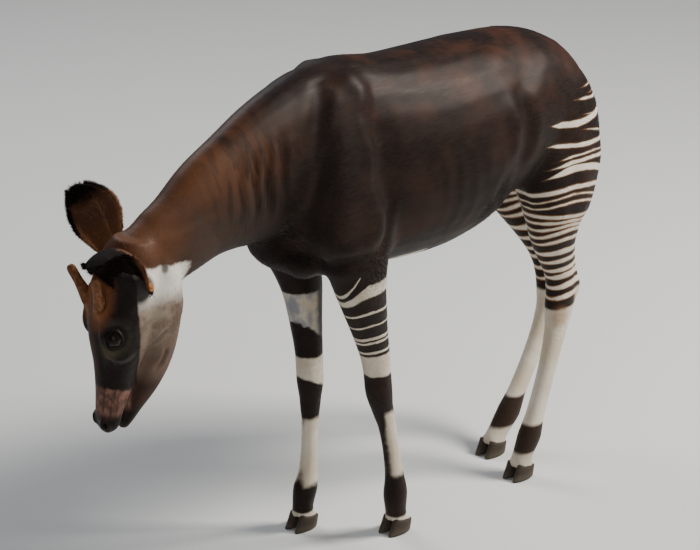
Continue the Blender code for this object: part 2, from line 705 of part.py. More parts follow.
def build():
    clear_scene()
    body = fuse("torso", body_masses(), BODY_VOXEL, 10, BODY_TRIANGLES)
    halve(body, NECK_BASE, -1)
    for side, sign in SIDES.items():
        reach = sorted((0.0, 0.5 * sign))
        for name, span, top, cut, rows in (
            ("foreleg_", FORE_SPAN, FORELEG_TOP, KNEE_CUT, FORELEG),
            ("hind_leg_", HIND_SPAN, HIND_LEG_TOP, HOCK_CUT, HIND_LEG),
        ):
            box = ((span[0], reach[0], -0.1), (span[1], reach[1], 1.2))
            foot = rows[side][0]
            limb(body, name + side, box, top, cut[side], rows[side], foot[:2])
    rear = tail()
    combine(body, [loft("tail_root", TAIL, 10, 2, grow=GAP)], "DIFFERENCE")

    neck = loft("neck", NECK, 24)
    halve(neck, NECK_BASE)
    halve(neck, THROAT, -1)

    head = fuse("head", head_masses(), HEAD_VOXEL, 20, HEAD_TRIANGLES)
    halve(head, THROAT)
    combine(head, head_cutters(), "DIFFERENCE", solver="MANIFOLD")
    sockets = [ear("ear_socket", side, EAR_GAP) for side in SIDES]
    combine(head, sockets, "DIFFERENCE", solver="MANIFOLD")
    for side, sign in SIDES.items():
        ear("ear_" + side, side)
        ossicone("ossicone_" + side, sign)
        eyeball("eye_" + side, sign)
    paint()
    settle()


build()
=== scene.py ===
# %% [markdown]
# # A young okapi with its neck lowered
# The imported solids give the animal's outline. This lesson dresses them: one skin over all the flesh,
# folds and lids pressed into it, striped fur made by arithmetic, and loose hair where it breaks the form.

import math

import bpy
import numpy as np
from mathutils import Matrix, Vector
from mathutils.bvhtree import BVHTree


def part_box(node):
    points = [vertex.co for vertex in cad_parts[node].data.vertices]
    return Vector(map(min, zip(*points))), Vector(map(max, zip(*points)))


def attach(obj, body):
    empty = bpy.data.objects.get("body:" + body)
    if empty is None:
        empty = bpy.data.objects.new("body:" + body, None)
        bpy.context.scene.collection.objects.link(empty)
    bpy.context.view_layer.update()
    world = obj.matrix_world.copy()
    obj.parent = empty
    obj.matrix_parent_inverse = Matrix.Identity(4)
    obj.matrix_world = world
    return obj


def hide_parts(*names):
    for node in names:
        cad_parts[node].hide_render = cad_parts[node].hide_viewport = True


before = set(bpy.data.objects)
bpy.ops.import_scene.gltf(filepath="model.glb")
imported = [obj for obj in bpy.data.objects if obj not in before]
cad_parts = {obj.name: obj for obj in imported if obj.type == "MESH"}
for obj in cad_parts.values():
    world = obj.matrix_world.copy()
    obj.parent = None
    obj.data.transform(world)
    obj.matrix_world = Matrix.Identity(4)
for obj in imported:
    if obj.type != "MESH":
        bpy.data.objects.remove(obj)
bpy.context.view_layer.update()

# %% [markdown]
# Every landmark below is written for a frame whose left eye is at EYE_HOME. The real place of that eye
# in the solids gives one small shift, so the whole dress follows if the solids are moved.

# %% Landmarks
EYE_HOME = Vector((-0.8889, -0.0715, 0.8981))
low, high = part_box("eye_left")
SHIFT = (low + high) / 2 - EYE_HOME
MOVE = np.array(SHIFT)
SIDES = {"left": -1, "right": 1}
POLL = Vector((-0.7914, -0.0348, 1.0950)) + SHIFT
HEAD_TURN = Matrix.Rotation(math.radians(-18), 4, "Z") @ Matrix.Rotation(math.radians(-80), 4, "Y")
HEAD = Matrix.Translation(POLL) @ HEAD_TURN
EYE = Vector((-0.208, 0.065, 0.046))
EYE_RADIUS = 0.0240
print("shift from the home place:", [round(c, 5) for c in SHIFT])

# %% [markdown]
# Two habits keep a long script safe. Everything is deselected before a mesh operator runs, and every
# modifier is applied as soon as it is set, so that each step ends in plain geometry. What a sculptor
# would do by hand on thousands of points is done on arrays of them, read from a mesh and put back.

# %% Small helpers
def only(obj):
    """Makes this the one object that operators act on."""
    bpy.ops.object.select_all(action="DESELECT")
    obj.select_set(True)
    bpy.context.view_layer.objects.active = obj
    return obj


def use(obj, kind, **settings):
    """Adds a modifier with these settings and applies it."""
    only(obj)
    modifier = obj.modifiers.new(kind.lower(), kind)
    for name, value in settings.items():
        setattr(modifier, name, value)
    bpy.ops.object.modifier_apply(modifier=modifier.name)
    return obj


def on_all_of(obj, operator, **settings):
    """Runs one edit-mode operator on the whole of an object."""
    only(obj)
    bpy.ops.object.mode_set(mode="EDIT")
    bpy.ops.mesh.select_all(action="SELECT")
    operator(**settings)
    bpy.ops.object.mode_set(mode="OBJECT")
    return obj


def read(items, name, width=3, kind=float):
    """One property of every item, as the rows of an array."""
    values = np.empty(len(items) * width, kind)
    items.foreach_get(name, values)
    return values.reshape(-1, width) if width > 1 else values


def spots_of(obj):
    return read(obj.data.vertices, "co")


def normals_of(obj):
    return read(obj.data.vertex_normals, "vector")


def put_back(obj, spots):
    obj.data.vertices.foreach_set("co", spots.astype(np.float32).ravel())
    obj.data.update()


def triangles(obj):
    return sum(len(face.vertices) - 2 for face in obj.data.polygons)


def copy_node(name):
    """A copy of one solid, its loose triangles merged into one closed mesh."""
    obj = bpy.data.objects.new("copy_" + name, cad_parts[name].data.copy())
    bpy.context.scene.collection.objects.link(obj)
    obj.data.materials.clear()
    return on_all_of(obj, bpy.ops.mesh.remove_doubles, threshold=0.00002)


def unwrap(obj, margin):
    """Lays the surface out flat, with gaps between its islands, for the hair to be placed on."""
    on_all_of(obj, bpy.ops.uv.smart_project, angle_limit=math.radians(72), island_margin=margin)
    obj.data.uv_layers[0].name = "OFBake"


def deliver(obj, slot, *nodes):
    """Hides the solids that a finished piece stands for, and hangs the piece on the root body. The slot is
    not used.
    """
    if nodes:
        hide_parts(*nodes)
    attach(obj, "root")


def smoothstep(x, start, end):
    """0 before start, 1 after end, and smooth between."""
    t = np.clip((x - start) / (end - start), 0, 1)
    return t * t * (3 - 2 * t)


# %% [markdown]
# ## The skin
# The real animal has no seams, so all flesh solids become one mesh. Each copy swells by a few
# millimetres, a voxel remesh fuses the lot, and the result shrinks back a little further than it grew.
# Swelling first closes the thin cuts between the solids, and shrinking further leaves room for the coat.
# A Boolean union would also join them, but it would keep each sharp border between two solids.

# %% Fuse the flesh
SWELL = 0.004
COAT = 0.0015
BODY_VOXEL = 0.0098
HEAD_VOXEL = 0.003
HOOF_HIDDEN = 0.030
FLESH = [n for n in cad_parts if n.startswith(("torso", "neck", "head", "upper", "lower"))]


def fused(name, objects, voxel):
    """Joins the pieces and melts them into one closed mesh, a coat's depth inside their surface."""
    obj = only(objects[0])
    for piece in objects:
        piece.select_set(True)
    bpy.ops.object.join()
    obj.name = name
    use(obj, "DISPLACE", strength=SWELL, mid_level=0)
    use(obj, "REMESH", mode="VOXEL", voxel_size=voxel)
    use(obj, "SMOOTH", factor=0.5, iterations=4)
    return use(obj, "DISPLACE", strength=-SWELL - COAT, mid_level=0)


def trim(obj, spot, way):
    """Cuts off all that lies beyond a plane, and closes the cut."""
    return on_all_of(obj, bpy.ops.mesh.bisect, plane_co=spot, plane_no=way, clear_outer=True, use_fill=True)


def root_plugs():
    """Copies of what stands on or in the flesh, each cut down to its root, to fill its socket."""
    plugs = []
    for side, sign in SIDES.items():
        plugs.append(copy_node("eye_" + side))
        horn = copy_node("ossicone_" + side)
        root = HEAD @ Vector((-0.133, 0.045 * sign, 0.090))
        way = HEAD_TURN @ Vector((0.76, 0.46 * sign, 0.46))
        plugs.append(trim(horn, root, way))
    return plugs


def hoof_plugs():
    """Upper parts of the hooves, so that the skin runs down into them."""
    plugs = []
    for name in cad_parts:
        if name.startswith("hoof"):
            hoof = copy_node(name)
            low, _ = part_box(name)
            plugs.append(trim(hoof, (low.x, low.y, HOOF_HIDDEN), (0, 0, -1)))
    return plugs


skin = fused("skin", [copy_node(n) for n in FLESH] + root_plugs() + hoof_plugs(), BODY_VOXEL)
head_form = fused("head_form", [copy_node("head"), copy_node("neck")] + root_plugs(), HEAD_VOXEL)
unwrap(skin, 0.002)
print("skin:", triangles(skin), "triangles, head form:", triangles(head_form))

# %% [markdown]
# The face needs finer mesh than the flank. Faces near the head are subdivided, laid on the finer head
# form, and subdivided again round the eyes, nostrils and mouth, where the folds are only a few
# millimetres wide.

# %% Refine the head
THROAT = np.array((-0.7074, -0.0300, 1.0500)) + MOVE
THROAT_WAY = np.array((-0.84, 0.0, -0.54))
NOSTRIL_MIDDLE = Vector((-0.460, 0.034, 0.018))


def in_head(spots):
    """The spots in the head's own frame: nose at -X, poll at the origin, brow at +Z."""
    turn = np.array(HEAD.inverted())
    return spots @ turn[:3, :3].T + turn[:3, 3]


def past_throat(spots):
    """How far each spot lies on the head's side of the throat. Legs hang lower, but are no head."""
    return np.where(spots[:, 0] < -0.55, (spots - THROAT) @ THROAT_WAY, -1.0)


def subdivide_where(obj, chosen):
    """Splits each face whose corners are all chosen."""
    only(obj)
    for vert, pick in zip(obj.data.vertices, chosen):
        vert.select = bool(pick)
    for edge in obj.data.edges:
        edge.select = all(chosen[v] for v in edge.vertices)
    for face in obj.data.polygons:
        face.select = all(chosen[v] for v in face.vertices)
    bpy.ops.object.mode_set(mode="EDIT")
    bpy.ops.mesh.subdivide(number_cuts=1, smoothness=0.6)
    bpy.ops.object.mode_set(mode="OBJECT")


def share(obj, name, weights):
    """A vertex group with these weights, in ten levels."""
    group = obj.vertex_groups.new(name=name)
    for level in range(1, 11):
        members = np.flatnonzero(np.round(weights * 10) == level)
        group.add(members.tolist(), level / 10, "REPLACE")
    return group.name


def near_features(local, reach):
    """Which spots lie near an eye, a nostril or the mouth."""
    flat = local * (1, 0, 1)
    close = np.zeros(len(local), bool)
    for sign in (-1, 1):
        for centre, size in ((EYE, 1.0), (NOSTRIL_MIDDLE, 0.62)):
            place = np.array((centre.x, centre.y * sign, centre.z))
            close |= np.linalg.norm(local - place, axis=1) < reach * size
    start, end = np.array((-0.345, 0, -0.040)), np.array((-0.505, 0, -0.018))
    along = np.clip((flat - start) @ (end - start) / ((end - start) @ (end - start)), 0, 1)
    close |= np.linalg.norm(flat - start - along[:, None] * (end - start), axis=1) < reach * 0.36
    return close & (local[:, 0] < 0)


def lay_on_head_form(name):
    weights = smoothstep(past_throat(spots_of(skin)), 0.0, 0.06)
    use(skin, "SHRINKWRAP", target=head_form, vertex_group=share(skin, name, weights))


subdivide_where(skin, past_throat(spots_of(skin)) > -0.02)
lay_on_head_form("head")
close = near_features(in_head(spots_of(skin)), 0.046) & (past_throat(spots_of(skin)) > 0)
subdivide_where(skin, close)
lay_on_head_form("face")
bpy.data.objects.remove(head_form)
use(skin, "SMOOTH", factor=0.5, iterations=3, vertex_group="face")
print("skin after refining:", triangles(skin), "triangles")

# %% [markdown]
# ## Sculpting by arithmetic
# A sculptor's brush moves the skin in or out by an amount that fades with distance from the stroke.
# The brushes here do the same: a stroke along a line, a dab round a point, and further on a plate
# inside an outline and the lids round an eye. Sculpting by hand gives the same forms, but it can't be
# repeated or read.

# %% Brushes
def distance_to(spots, line):
    """Distance from each spot to a bent line, and how far along the line its nearest point is."""
    line = np.array(line, float)
    best = np.full(len(spots), 9.0)
    part = np.zeros(len(spots))
    for i in range(len(line) - 1):
        a, step = line[i], line[i + 1] - line[i]
        t = np.clip((spots - a) @ step / (step @ step), 0, 1)
        away = np.linalg.norm(spots - a - t[:, None] * step, axis=1)
        nearer = away < best
        best[nearer] = away[nearer]
        part[nearer] = ((i + t) / (len(line) - 1))[nearer]
    return best, part


def stroke(obj, line, width, height, lips=0.0, local=False, both=False):
    """Raises (or, below zero, presses in) the skin along a line, thinning out at its ends.

    Lips adds a softer swelling on each side of a pressed line, as flesh makes beside a fold.
    """
    spots = spots_of(obj)
    normals = normals_of(obj)
    where = in_head(spots) if local else spots - MOVE
    for sign in ((1, -1) if both else (1,)):
        away, part = distance_to(where * (1, sign, 1), line)
        ends = np.clip(4 * part, 0, 1) * np.clip(4 * (1 - part), 0, 1)
        push = height * np.exp(-(away / width) ** 2)
        push += lips * np.exp(-((away - 1.9 * width) / width) ** 2)
        spots += normals * (push * ends ** 0.7)[:, None]
    put_back(obj, spots)


def dab(obj, centre, radii, height, local=False, both=False, way=None):
    """Raises or presses in a round place; way pushes along one direction instead of outward."""
    spots = spots_of(obj)
    normals = normals_of(obj)
    where = in_head(spots) if local else spots - MOVE
    for sign in ((1, -1) if both else (1,)):
        away = np.linalg.norm((where * (1, sign, 1) - np.array(centre)) / np.array(radii), axis=1)
        push = height * np.exp(-away ** 2)
        spots += (normals if way is None else np.array(way)) * push[:, None]
    put_back(obj, spots)


# %% [markdown]
# ## Body folds
# The photograph shows loose skin: short upright wrinkles where the neck meets the shoulder, long
# furrows along the neck, the edge of the shoulder blade, the fold from the hip to the stifle, and
# tendons down the legs.

# %% Press in the body's folds
FOLDS = [
    # neck furrows, from the throat back toward the shoulder
    ([(-0.736, -0.083, 1.137), (-0.680, -0.095, 1.143), (-0.602, -0.104, 1.160), (-0.505, -0.112, 1.162)],
     0.016, -0.0030, 0.0010),
    ([(-0.700, -0.100, 1.080), (-0.600, -0.108, 1.095), (-0.500, -0.112, 1.100), (-0.400, -0.115, 1.080)],
     0.016, -0.0030, 0.0012),
    # curved wrinkles where the neck meets the shoulder
    ([(-0.455, -0.079, 1.291), (-0.487, -0.104, 1.215), (-0.480, -0.113, 1.130)], 0.012, -0.0020, 0.0008),
    ([(-0.406, -0.094, 1.281), (-0.440, -0.112, 1.206), (-0.428, -0.114, 1.104)], 0.012, -0.0050, 0.0024),
    ([(-0.370, -0.098, 1.285), (-0.398, -0.116, 1.195), (-0.380, -0.112, 1.075)], 0.012, -0.0062, 0.0030),
    ([(-0.318, -0.100, 1.310), (-0.346, -0.120, 1.215), (-0.336, -0.118, 1.120), (-0.305, -0.105, 1.060)],
     0.014, -0.0066, 0.0030),
    # front edge of the shoulder blade, and the groove behind it
    ([(-0.150, -0.085, 1.370), (-0.205, -0.120, 1.280), (-0.232, -0.138, 1.170), (-0.240, -0.135, 1.080)],
     0.030, -0.0065, 0.0025),
    ([(-0.020, -0.125, 1.330), (-0.010, -0.165, 1.210), (-0.020, -0.180, 1.120), (-0.012, -0.195, 1.020)],
     0.034, -0.0030, 0.0010),
    # the lower edge of the shoulder, round to the elbow
    ([(-0.330, -0.085, 1.000), (-0.285, -0.080, 0.955), (-0.225, -0.112, 0.922), (-0.180, -0.180, 0.930),
      (-0.076, -0.203, 0.930)], 0.020, -0.0080, 0.0045),
    ([(-0.050, -0.200, 0.930), (-0.036, -0.200, 1.000), (-0.030, -0.190, 1.060)], 0.018, -0.0060, 0.0030),
    # the hollow before the hip, and the fold of the flank
    ([(0.478, -0.180, 1.255), (0.500, -0.210, 1.165), (0.485, -0.222, 1.090), (0.425, -0.226, 1.010)],
     0.026, -0.0060, 0.0030),
    ([(0.400, -0.215, 1.040), (0.392, -0.215, 0.980), (0.440, -0.195, 0.920)], 0.018, -0.0050, 0.0040),
    # muscles of the thigh, and the groove before the hamstring
    ([(0.640, -0.190, 1.130), (0.690, -0.205, 1.010), (0.700, -0.205, 0.880), (0.690, -0.190, 0.780)],
     0.028, -0.0035, 0.0016),
    ([(0.840, -0.170, 1.100), (0.860, -0.170, 0.980), (0.830, -0.170, 0.860), (0.800, -0.150, 0.760)],
     0.022, -0.0040, 0.0016),
]
for line, width, height, lips in FOLDS:
    stroke(skin, line, width, height, lips, both=True)
FIRST_RIB, RIB_STEP, RIBS = 0.16, 0.052, 6
for rib in range(RIBS):
    x = FIRST_RIB + RIB_STEP * rib
    line = [(x - 0.02, -0.17, 1.22), (x + 0.02, -0.225, 1.10), (x + 0.02, -0.22, 0.98),
            (x - 0.02, -0.17, 0.87)]
    stroke(skin, line, 0.012, 0.0012, both=True)
print("folds pressed in:", len(FOLDS), "on each side, and", RIBS, "ribs")

# %% [markdown]
# The shoulder blade and the thigh are broad plates of muscle under thin skin, and the light catches
# their edges. Each is drawn as an outline on the animal's side. The skin inside it is raised, eased
# over a few centimetres at the edge, and a shallow groove runs outside. A few dabs then round off the
# bony points: the top of the shoulder blade, its back edge, the elbow and the hip.

# %% Raise the shoulder and the thigh
SHOULDER = [
    (-0.140, 1.385), (-0.060, 1.412), (-0.022, 1.360), (-0.056, 1.293), (-0.050, 1.192), (-0.066, 1.129),
    (-0.034, 1.053), (-0.050, 0.976), (-0.100, 0.940), (-0.184, 0.940), (-0.225, 0.955), (-0.290, 1.000),
    (-0.315, 1.090), (-0.270, 1.190), (-0.200, 1.290),
]
THIGH = [(0.520, 1.240), (0.640, 1.330), (0.800, 1.300), (0.860, 1.120), (0.860, 0.960), (0.800, 0.800),
         (0.640, 0.800), (0.520, 0.920), (0.480, 1.010), (0.505, 1.120)]


def plate(obj, outline, height, soft):
    """Raises the muscle inside an outline drawn on the animal's side, on both sides."""
    spots = spots_of(obj)
    normals = normals_of(obj)
    home = spots - MOVE
    flat = home * (1, 0, 1)
    ends = outline + outline[:1]
    away, _ = distance_to(flat, [(x, 0, z) for x, z in ends])
    inside = np.zeros(len(home), bool)
    for (x1, z1), (x2, z2) in zip(ends, ends[1:]):
        crosses = (z1 > home[:, 2]) != (z2 > home[:, 2])
        at = x1 + (home[:, 2] - z1) * (x2 - x1) / (z2 - z1 if z2 != z1 else 1e-9)
        inside ^= crosses & (home[:, 0] < at)
    depth = np.where(inside, away, -away)
    push = height * smoothstep(depth, -0.014, soft) * smoothstep(np.abs(normals[:, 1]), 0.10, 0.45)
    push -= 0.15 * height * np.exp(-((depth + 0.024) / 0.016) ** 2) * (np.abs(home[:, 1]) > 0.05)
    put_back(obj, spots + normals * push[:, None])


plate(skin, SHOULDER, 0.015, 0.034)
plate(skin, THIGH, 0.008, 0.045)
BONY_POINTS = [
    ((-0.036, -0.079, 1.388), (0.050, 0.045, 0.030), 0.0090),
    ((-0.044, -0.120, 1.330), (0.036, 0.040, 0.060), 0.0080),
    ((-0.070, -0.160, 1.180), (0.036, 0.050, 0.110), 0.0050),
    ((-0.210, -0.173, 1.030), (0.055, 0.060, 0.055), 0.0080),
    ((-0.080, -0.190, 1.020), (0.040, 0.060, 0.060), 0.0070),
    ((0.452, -0.205, 1.165), (0.032, 0.050, 0.090), 0.0080),
    ((0.470, -0.120, 1.330), (0.050, 0.050, 0.030), 0.0050),
]
for centre, radii, height in BONY_POINTS:
    dab(skin, centre, radii, height, both=True)
print("raised: 2 plates and", len(BONY_POINTS), "points on each side")

# %% [markdown]
# ## The face
# The lids are the skin that is drawn over the eyeball. Inside the almond of the opening the skin sinks
# behind the eye, at its rim it stands a few millimetres proud, and further out it eases into the brow.

# %% Lids
EYE_OUT = Vector((-0.16, 0.96, 0.20)).normalized()
EYE_CORNER = Vector((-1, -0.10, -0.22))
EYE_ALONG = (EYE_CORNER - EYE_OUT * EYE_CORNER.dot(EYE_OUT)).normalized()
EYE_UP = EYE_OUT.cross(EYE_ALONG)
OPEN_LONG = 0.92
OPEN_HIGH = 0.74
EYE_NEAR = 0.055


def eye_axes(sign):
    """The middle of one eye in the head's frame, and its ways along, up and out."""
    return [np.array(v) * (1, sign, 1) for v in (EYE, EYE_ALONG, EYE_UP, EYE_OUT)]


def almond(a, b):
    """Under 1 inside the opening. The upper lid arches more than the lower one."""
    arch = np.where(b > 0, OPEN_HIGH * 1.12, OPEN_HIGH * 0.92)
    return np.sqrt((np.abs(a) / OPEN_LONG) ** 1.8 + (np.abs(b) / arch) ** 1.9)


def draw_lids(obj):
    """Sinks the skin inside each opening and lays it over the ball outside, with a rim and a crease."""
    local = in_head(spots_of(obj))
    turn = np.array(HEAD)
    for sign in SIDES.values():
        centre, along, up, out = eye_axes(sign)
        arm = local - centre
        reach = np.linalg.norm(arm, axis=1)
        way = arm / reach[:, None]
        ring = almond(way @ along, way @ up)
        rim = EYE_RADIUS + 0.0028 + 0.0016 * np.exp(-((ring - 1.12) / 0.10) ** 2)
        rim -= 0.0006 * np.exp(-((ring - 1.42) / 0.10) ** 2)
        target = np.where(ring < 1.0, EYE_RADIUS - 0.0060, rim)
        hold = smoothstep(ring, 2.1, 1.35) * smoothstep(way @ out, -0.10, 0.25) * (reach < EYE_NEAR)
        moved = reach + (target - reach) * hold
        local = np.where((hold > 0)[:, None], centre + way * moved[:, None], local)
    put_back(obj, local @ turn[:3, :3].T + turn[:3, 3])


draw_lids(skin)
dab(skin, (-0.205, 0.075, 0.088), (0.030, 0.016, 0.010), 0.0035, local=True, both=True)
print("lids drawn round both eyes")

# %% [markdown]
# The mouth is one narrow groove between two soft lips, and each nostril is a comma-shaped hollow that
# opens forward and out. Fine creases run under the eye and over the cheek.

# %% Mouth, nostrils and creases
MOUTH = [(-0.350, -0.038), (-0.395, -0.035), (-0.440, -0.029), (-0.505, -0.018)]
NOSTRIL = [(-0.478, 0.020, 0.010), (-0.470, 0.030, 0.016), (-0.456, 0.036, 0.026), (-0.444, 0.036, 0.034)]


def press_mouth(obj):
    """A groove along the lips. Its distance is read from the side, so it runs right round the front."""
    spots = spots_of(obj)
    normals = normals_of(obj)
    local = in_head(spots)
    line = [(x, 0, z) for x, z in MOUTH]
    away, part = distance_to(local * (1, 0, 1), line)
    ease = np.clip(5 * part, 0, 1)
    push = -0.0075 * np.exp(-(away / 0.0030) ** 2) + 0.0022 * np.exp(-((away - 0.0085) / 0.0050) ** 2)
    spots += normals * (push * ease * (past_throat(spots) > 0.05))[:, None]
    put_back(obj, spots)


press_mouth(skin)
stroke(skin, NOSTRIL, 0.0046, -0.0110, 0.0030, local=True, both=True)
stroke(skin, [(-0.462, 0.012, 0.030), (-0.444, 0.030, 0.044), (-0.425, 0.040, 0.040)], 0.008, 0.0030,
       local=True, both=True)
CREASES = [
    ([(-0.270, 0.046, 0.060), (-0.277, 0.052, 0.040), (-0.279, 0.064, 0.010), (-0.268, 0.068, -0.020)],
     0.0050, -0.0028, 0.0014),
    ([(-0.258, 0.052, 0.064), (-0.256, 0.070, 0.030), (-0.250, 0.078, 0.000)], 0.0040, -0.0018, 0.0010),
    ([(-0.254, 0.060, -0.045), (-0.233, 0.056, -0.067), (-0.206, 0.067, -0.086), (-0.190, 0.066, -0.099)],
     0.0060, -0.0042, 0.0020),
    ([(-0.308, 0.043, -0.087), (-0.291, 0.045, -0.105), (-0.263, 0.048, -0.113), (-0.245, 0.050, -0.114)],
     0.0060, -0.0042, 0.0020),
    ([(-0.330, 0.052, -0.010), (-0.345, 0.040, -0.034), (-0.372, 0.034, -0.046)], 0.0060, -0.0024, 0.0012),
]
for line, width, height, lips in CREASES:
    stroke(skin, line, width, height, lips, local=True, both=True)
print("mouth, nostrils and", len(CREASES), "creases pressed in")
only(skin)
bpy.ops.object.shade_smooth()

# %% [markdown]
# ## Shader arithmetic
# Markings on this animal are sums and thresholds of simple numbers: height, distance along a leg,
# distance to a spot. They could be painted, but then the loose hair couldn't share them. A small class
# lets Python's own operators write those sums as Math nodes.

# %% Sockets that add up
class Field:
    """One socket of a shader tree, with arithmetic that adds Math nodes."""

    def __init__(self, tree, socket):
        self.tree = tree
        self.socket = socket

    def node(self, kind, inputs, out=0, **settings):
        """Any node: settings first, then its sockets by number or name, as values or links."""
        made = self.tree.nodes.new(kind)
        for name, value in settings.items():
            setattr(made, name, value)
        for key, value in inputs.items():
            if isinstance(value, Field):
                self.tree.links.new(value.socket, made.inputs[key])
            else:
                made.inputs[key].default_value = value
        return Field(self.tree, made.outputs[out])

    def maths(self, operation, *others):
        return self.node("ShaderNodeMath", dict(enumerate((self, *others))), operation=operation)

    def __add__(self, other):
        return self.maths("ADD", other)

    def __radd__(self, other):
        return self.maths("ADD", other)

    def __sub__(self, other):
        return self.maths("SUBTRACT", other)

    def __rsub__(self, other):
        return self.node("ShaderNodeMath", {0: other, 1: self}, operation="SUBTRACT")

    def __mul__(self, other):
        return self.maths("MULTIPLY", other)

    def __rmul__(self, other):
        return self.maths("MULTIPLY", other)

    def __abs__(self):
        return self.maths("ABSOLUTE")

    def least(self, other):
        return self.maths("MINIMUM", other)

    def most(self, other):
        return self.maths("MAXIMUM", other)

    def step(self, start, end):
        """0 before start, 1 after end, and smooth between."""
        return self.node("ShaderNodeMapRange", {0: self, 1: start, 2: end, 3: 0.0, 4: 1.0},
                         interpolation_type="SMOOTHSTEP")

    def axis(self, number):
        return self.node("ShaderNodeSeparateXYZ", {0: self}, out=number)

    def scaled(self, sizes, move=(0, 0, 0), turn=(0, 0, 0)):
        return self.node("ShaderNodeMapping", {0: self, 1: move, 2: turn, 3: sizes})

    def along(self, way):
        """How far a place lies along a direction."""
        return self.node("ShaderNodeVectorMath", {0: self, 1: tuple(way)}, out=1, operation="DOT_PRODUCT")

    def noise(self, scale, detail=3.0, rough=0.55):
        return self.node("ShaderNodeTexNoise", {"Vector": self, "Scale": scale, "Detail": detail,
                                                "Roughness": rough})

    def near(self, centre, radii, soft=0.45):
        """1 inside a stretched ball, fading to 0 across its edge."""
        sizes = [1 / r for r in radii]
        moved = self.scaled(sizes, [-c * s for c, s in zip(centre, sizes)])
        size = self.node("ShaderNodeVectorMath", {0: moved}, out=1, operation="LENGTH")
        return size.step(1 + soft, 1 - soft)

    def mix(self, first, second):
        """A colour between two, with this as the share of the second."""
        def colour(value):
            return value if isinstance(value, Field) else (*value, 1)
        return self.node("ShaderNodeMix", {0: self, 6: colour(first), 7: colour(second)}, out=2,
                         data_type="RGBA")


def new_material(name):
    """A material, its Principled node, and the object's own coordinates moved to the home place."""
    material = bpy.data.materials.new(name)
    material.use_nodes = True
    tree = material.node_tree
    surface = tree.nodes["Principled BSDF"]
    coords = Field(tree, tree.nodes.new("ShaderNodeTexCoord").outputs["Object"])
    return material, surface, coords.scaled((1, 1, 1), tuple(-c for c in SHIFT))


HAIR_SHINE = 0.15
WARM_SHINE = (1.0, 0.84, 0.76, 1)


def finish_surface(surface, colour, roughness, bump=None, depth=0.001):
    """Links the varying values to the Principled node."""
    tree = colour.tree
    tree.links.new(colour.socket, surface.inputs["Base Color"])
    if isinstance(roughness, Field):
        tree.links.new(roughness.socket, surface.inputs["Roughness"])
    else:
        surface.inputs["Roughness"].default_value = roughness
    surface.inputs["Specular IOR Level"].default_value = HAIR_SHINE
    surface.inputs["Specular Tint"].default_value = WARM_SHINE
    if bump is not None:
        made = bump.node("ShaderNodeBump", {"Height": bump, "Distance": depth, "Strength": 1.0})
        tree.links.new(made.socket, surface.inputs["Normal"])


# %% [markdown]
# ## The coat's colours
# The coat is near black, redder on the loins and on top of the neck. That red is partly the hair's own
# and partly painted sheen and sunlight on the top of the back and neck. The grey mauve on the neck's
# side is partly painted sheen, and the wrinkles at the neck's base hold painted shade. Each zone is a
# soft stretched ball, its edge broken by noise so that it looks grown and not sprayed. An image would
# need its own unwrap, and would end where its pixels end.

# %% The dark coat, shared by every part of the skin
DARK = (0.0062, 0.0034, 0.0028)
BROWN = (0.0180, 0.0078, 0.0050)
RUST = (0.0440, 0.0150, 0.0075)
NAPE = (0.1050, 0.0400, 0.0165)
# MAUVE is partly the coat's own grey brown and partly painted sheen.
MAUVE = (0.0460, 0.0260, 0.0180)
CREAM = (0.560, 0.470, 0.355)
WHITE = (0.640, 0.585, 0.490)
TAN = (0.300, 0.150, 0.060)
HAIR_TIPS = (0.034, 0.022, 0.018)
BLUE_GREY = (0.230, 0.250, 0.290)
FETLOCK = (0.028, 0.017, 0.012)
CORONET = (0.52, 0.45, 0.36)
HAIR_TILT = math.radians(28)
HAIR_BUMP = 0.0008


def streaks(p, turn, along, across):
    """Noise drawn out along the lie of the hair."""
    return p.scaled((along, across, across), turn=turn).noise(1.0, 4.0, 0.6)


def dark_coat(p):
    """Colour of the neck, trunk and dark parts of the legs, and the shade of its hair."""
    patch = p.noise(7.0, 3.0)
    hair = streaks(p, (0, HAIR_TILT, 0), 26.0, 170.0)
    colour = patch.step(0.45, 0.70).mix(DARK, BROWN)
    # Partly painted sheen: red brown on top of the loins, partly the hair's own and partly painted light on
    # the back.
    back = p.near((0.42, 0.0, 1.34), (0.50, 0.21, 0.17), 0.5)
    colour = (back * patch.step(0.40, 0.66) * 0.85).mix(colour, RUST)
    flank = p.near((0.02, 0.0, 0.96), (0.16, 0.24, 0.05), 0.6)
    colour = (flank * patch.step(0.36, 0.60) * 0.6).mix(colour, RUST)
    # Partly painted sheen: grey mauve over the neck's side, partly the coat's own grey brown.
    neck_side = p.near((-0.60, 0.0, 1.12), (0.24, 0.20, 0.16), 0.5)
    colour = (neck_side * 0.80).mix(colour, MAUVE)
    # Partly painted sunlight: orange brown on top of the neck and at the poll, partly the hair's own and
    # partly painted light on the neck's top.
    nape = p.near((-0.62, 0.0, 1.255), (0.34, 0.13, 0.110), 0.55)
    colour = (nape * patch.step(0.18, 0.50) * 0.95).mix(colour, NAPE)
    poll = p.near((-0.765, -0.03, 1.125), (0.125, 0.120, 0.085), 0.5)
    colour = (poll * 0.9).mix(colour, NAPE)
    # Painted shade: near black streaks in the wrinkles at the base of the neck.
    base = p.near((-0.40, 0.0, 1.18), (0.17, 0.20, 0.20), 0.5)
    wrinkle = p.scaled((58, 20, 9), turn=(0, math.radians(10), 0)).noise(1.0, 2.0, 0.5).step(0.52, 0.40)
    colour = (base * wrinkle * 0.60).mix(colour, DARK)
    shade = hair.step(0.30, 0.72)
    return (shade * 0.22).mix(colour, HAIR_TIPS), hair, patch


def zones(colour, p, rows):
    """Lays soft stretched balls of colour over what is there, one after another."""
    for centre, radii, soft, strength, tint in rows:
        colour = (p.near(centre, radii, soft) * strength).mix(colour, tint)
    return colour


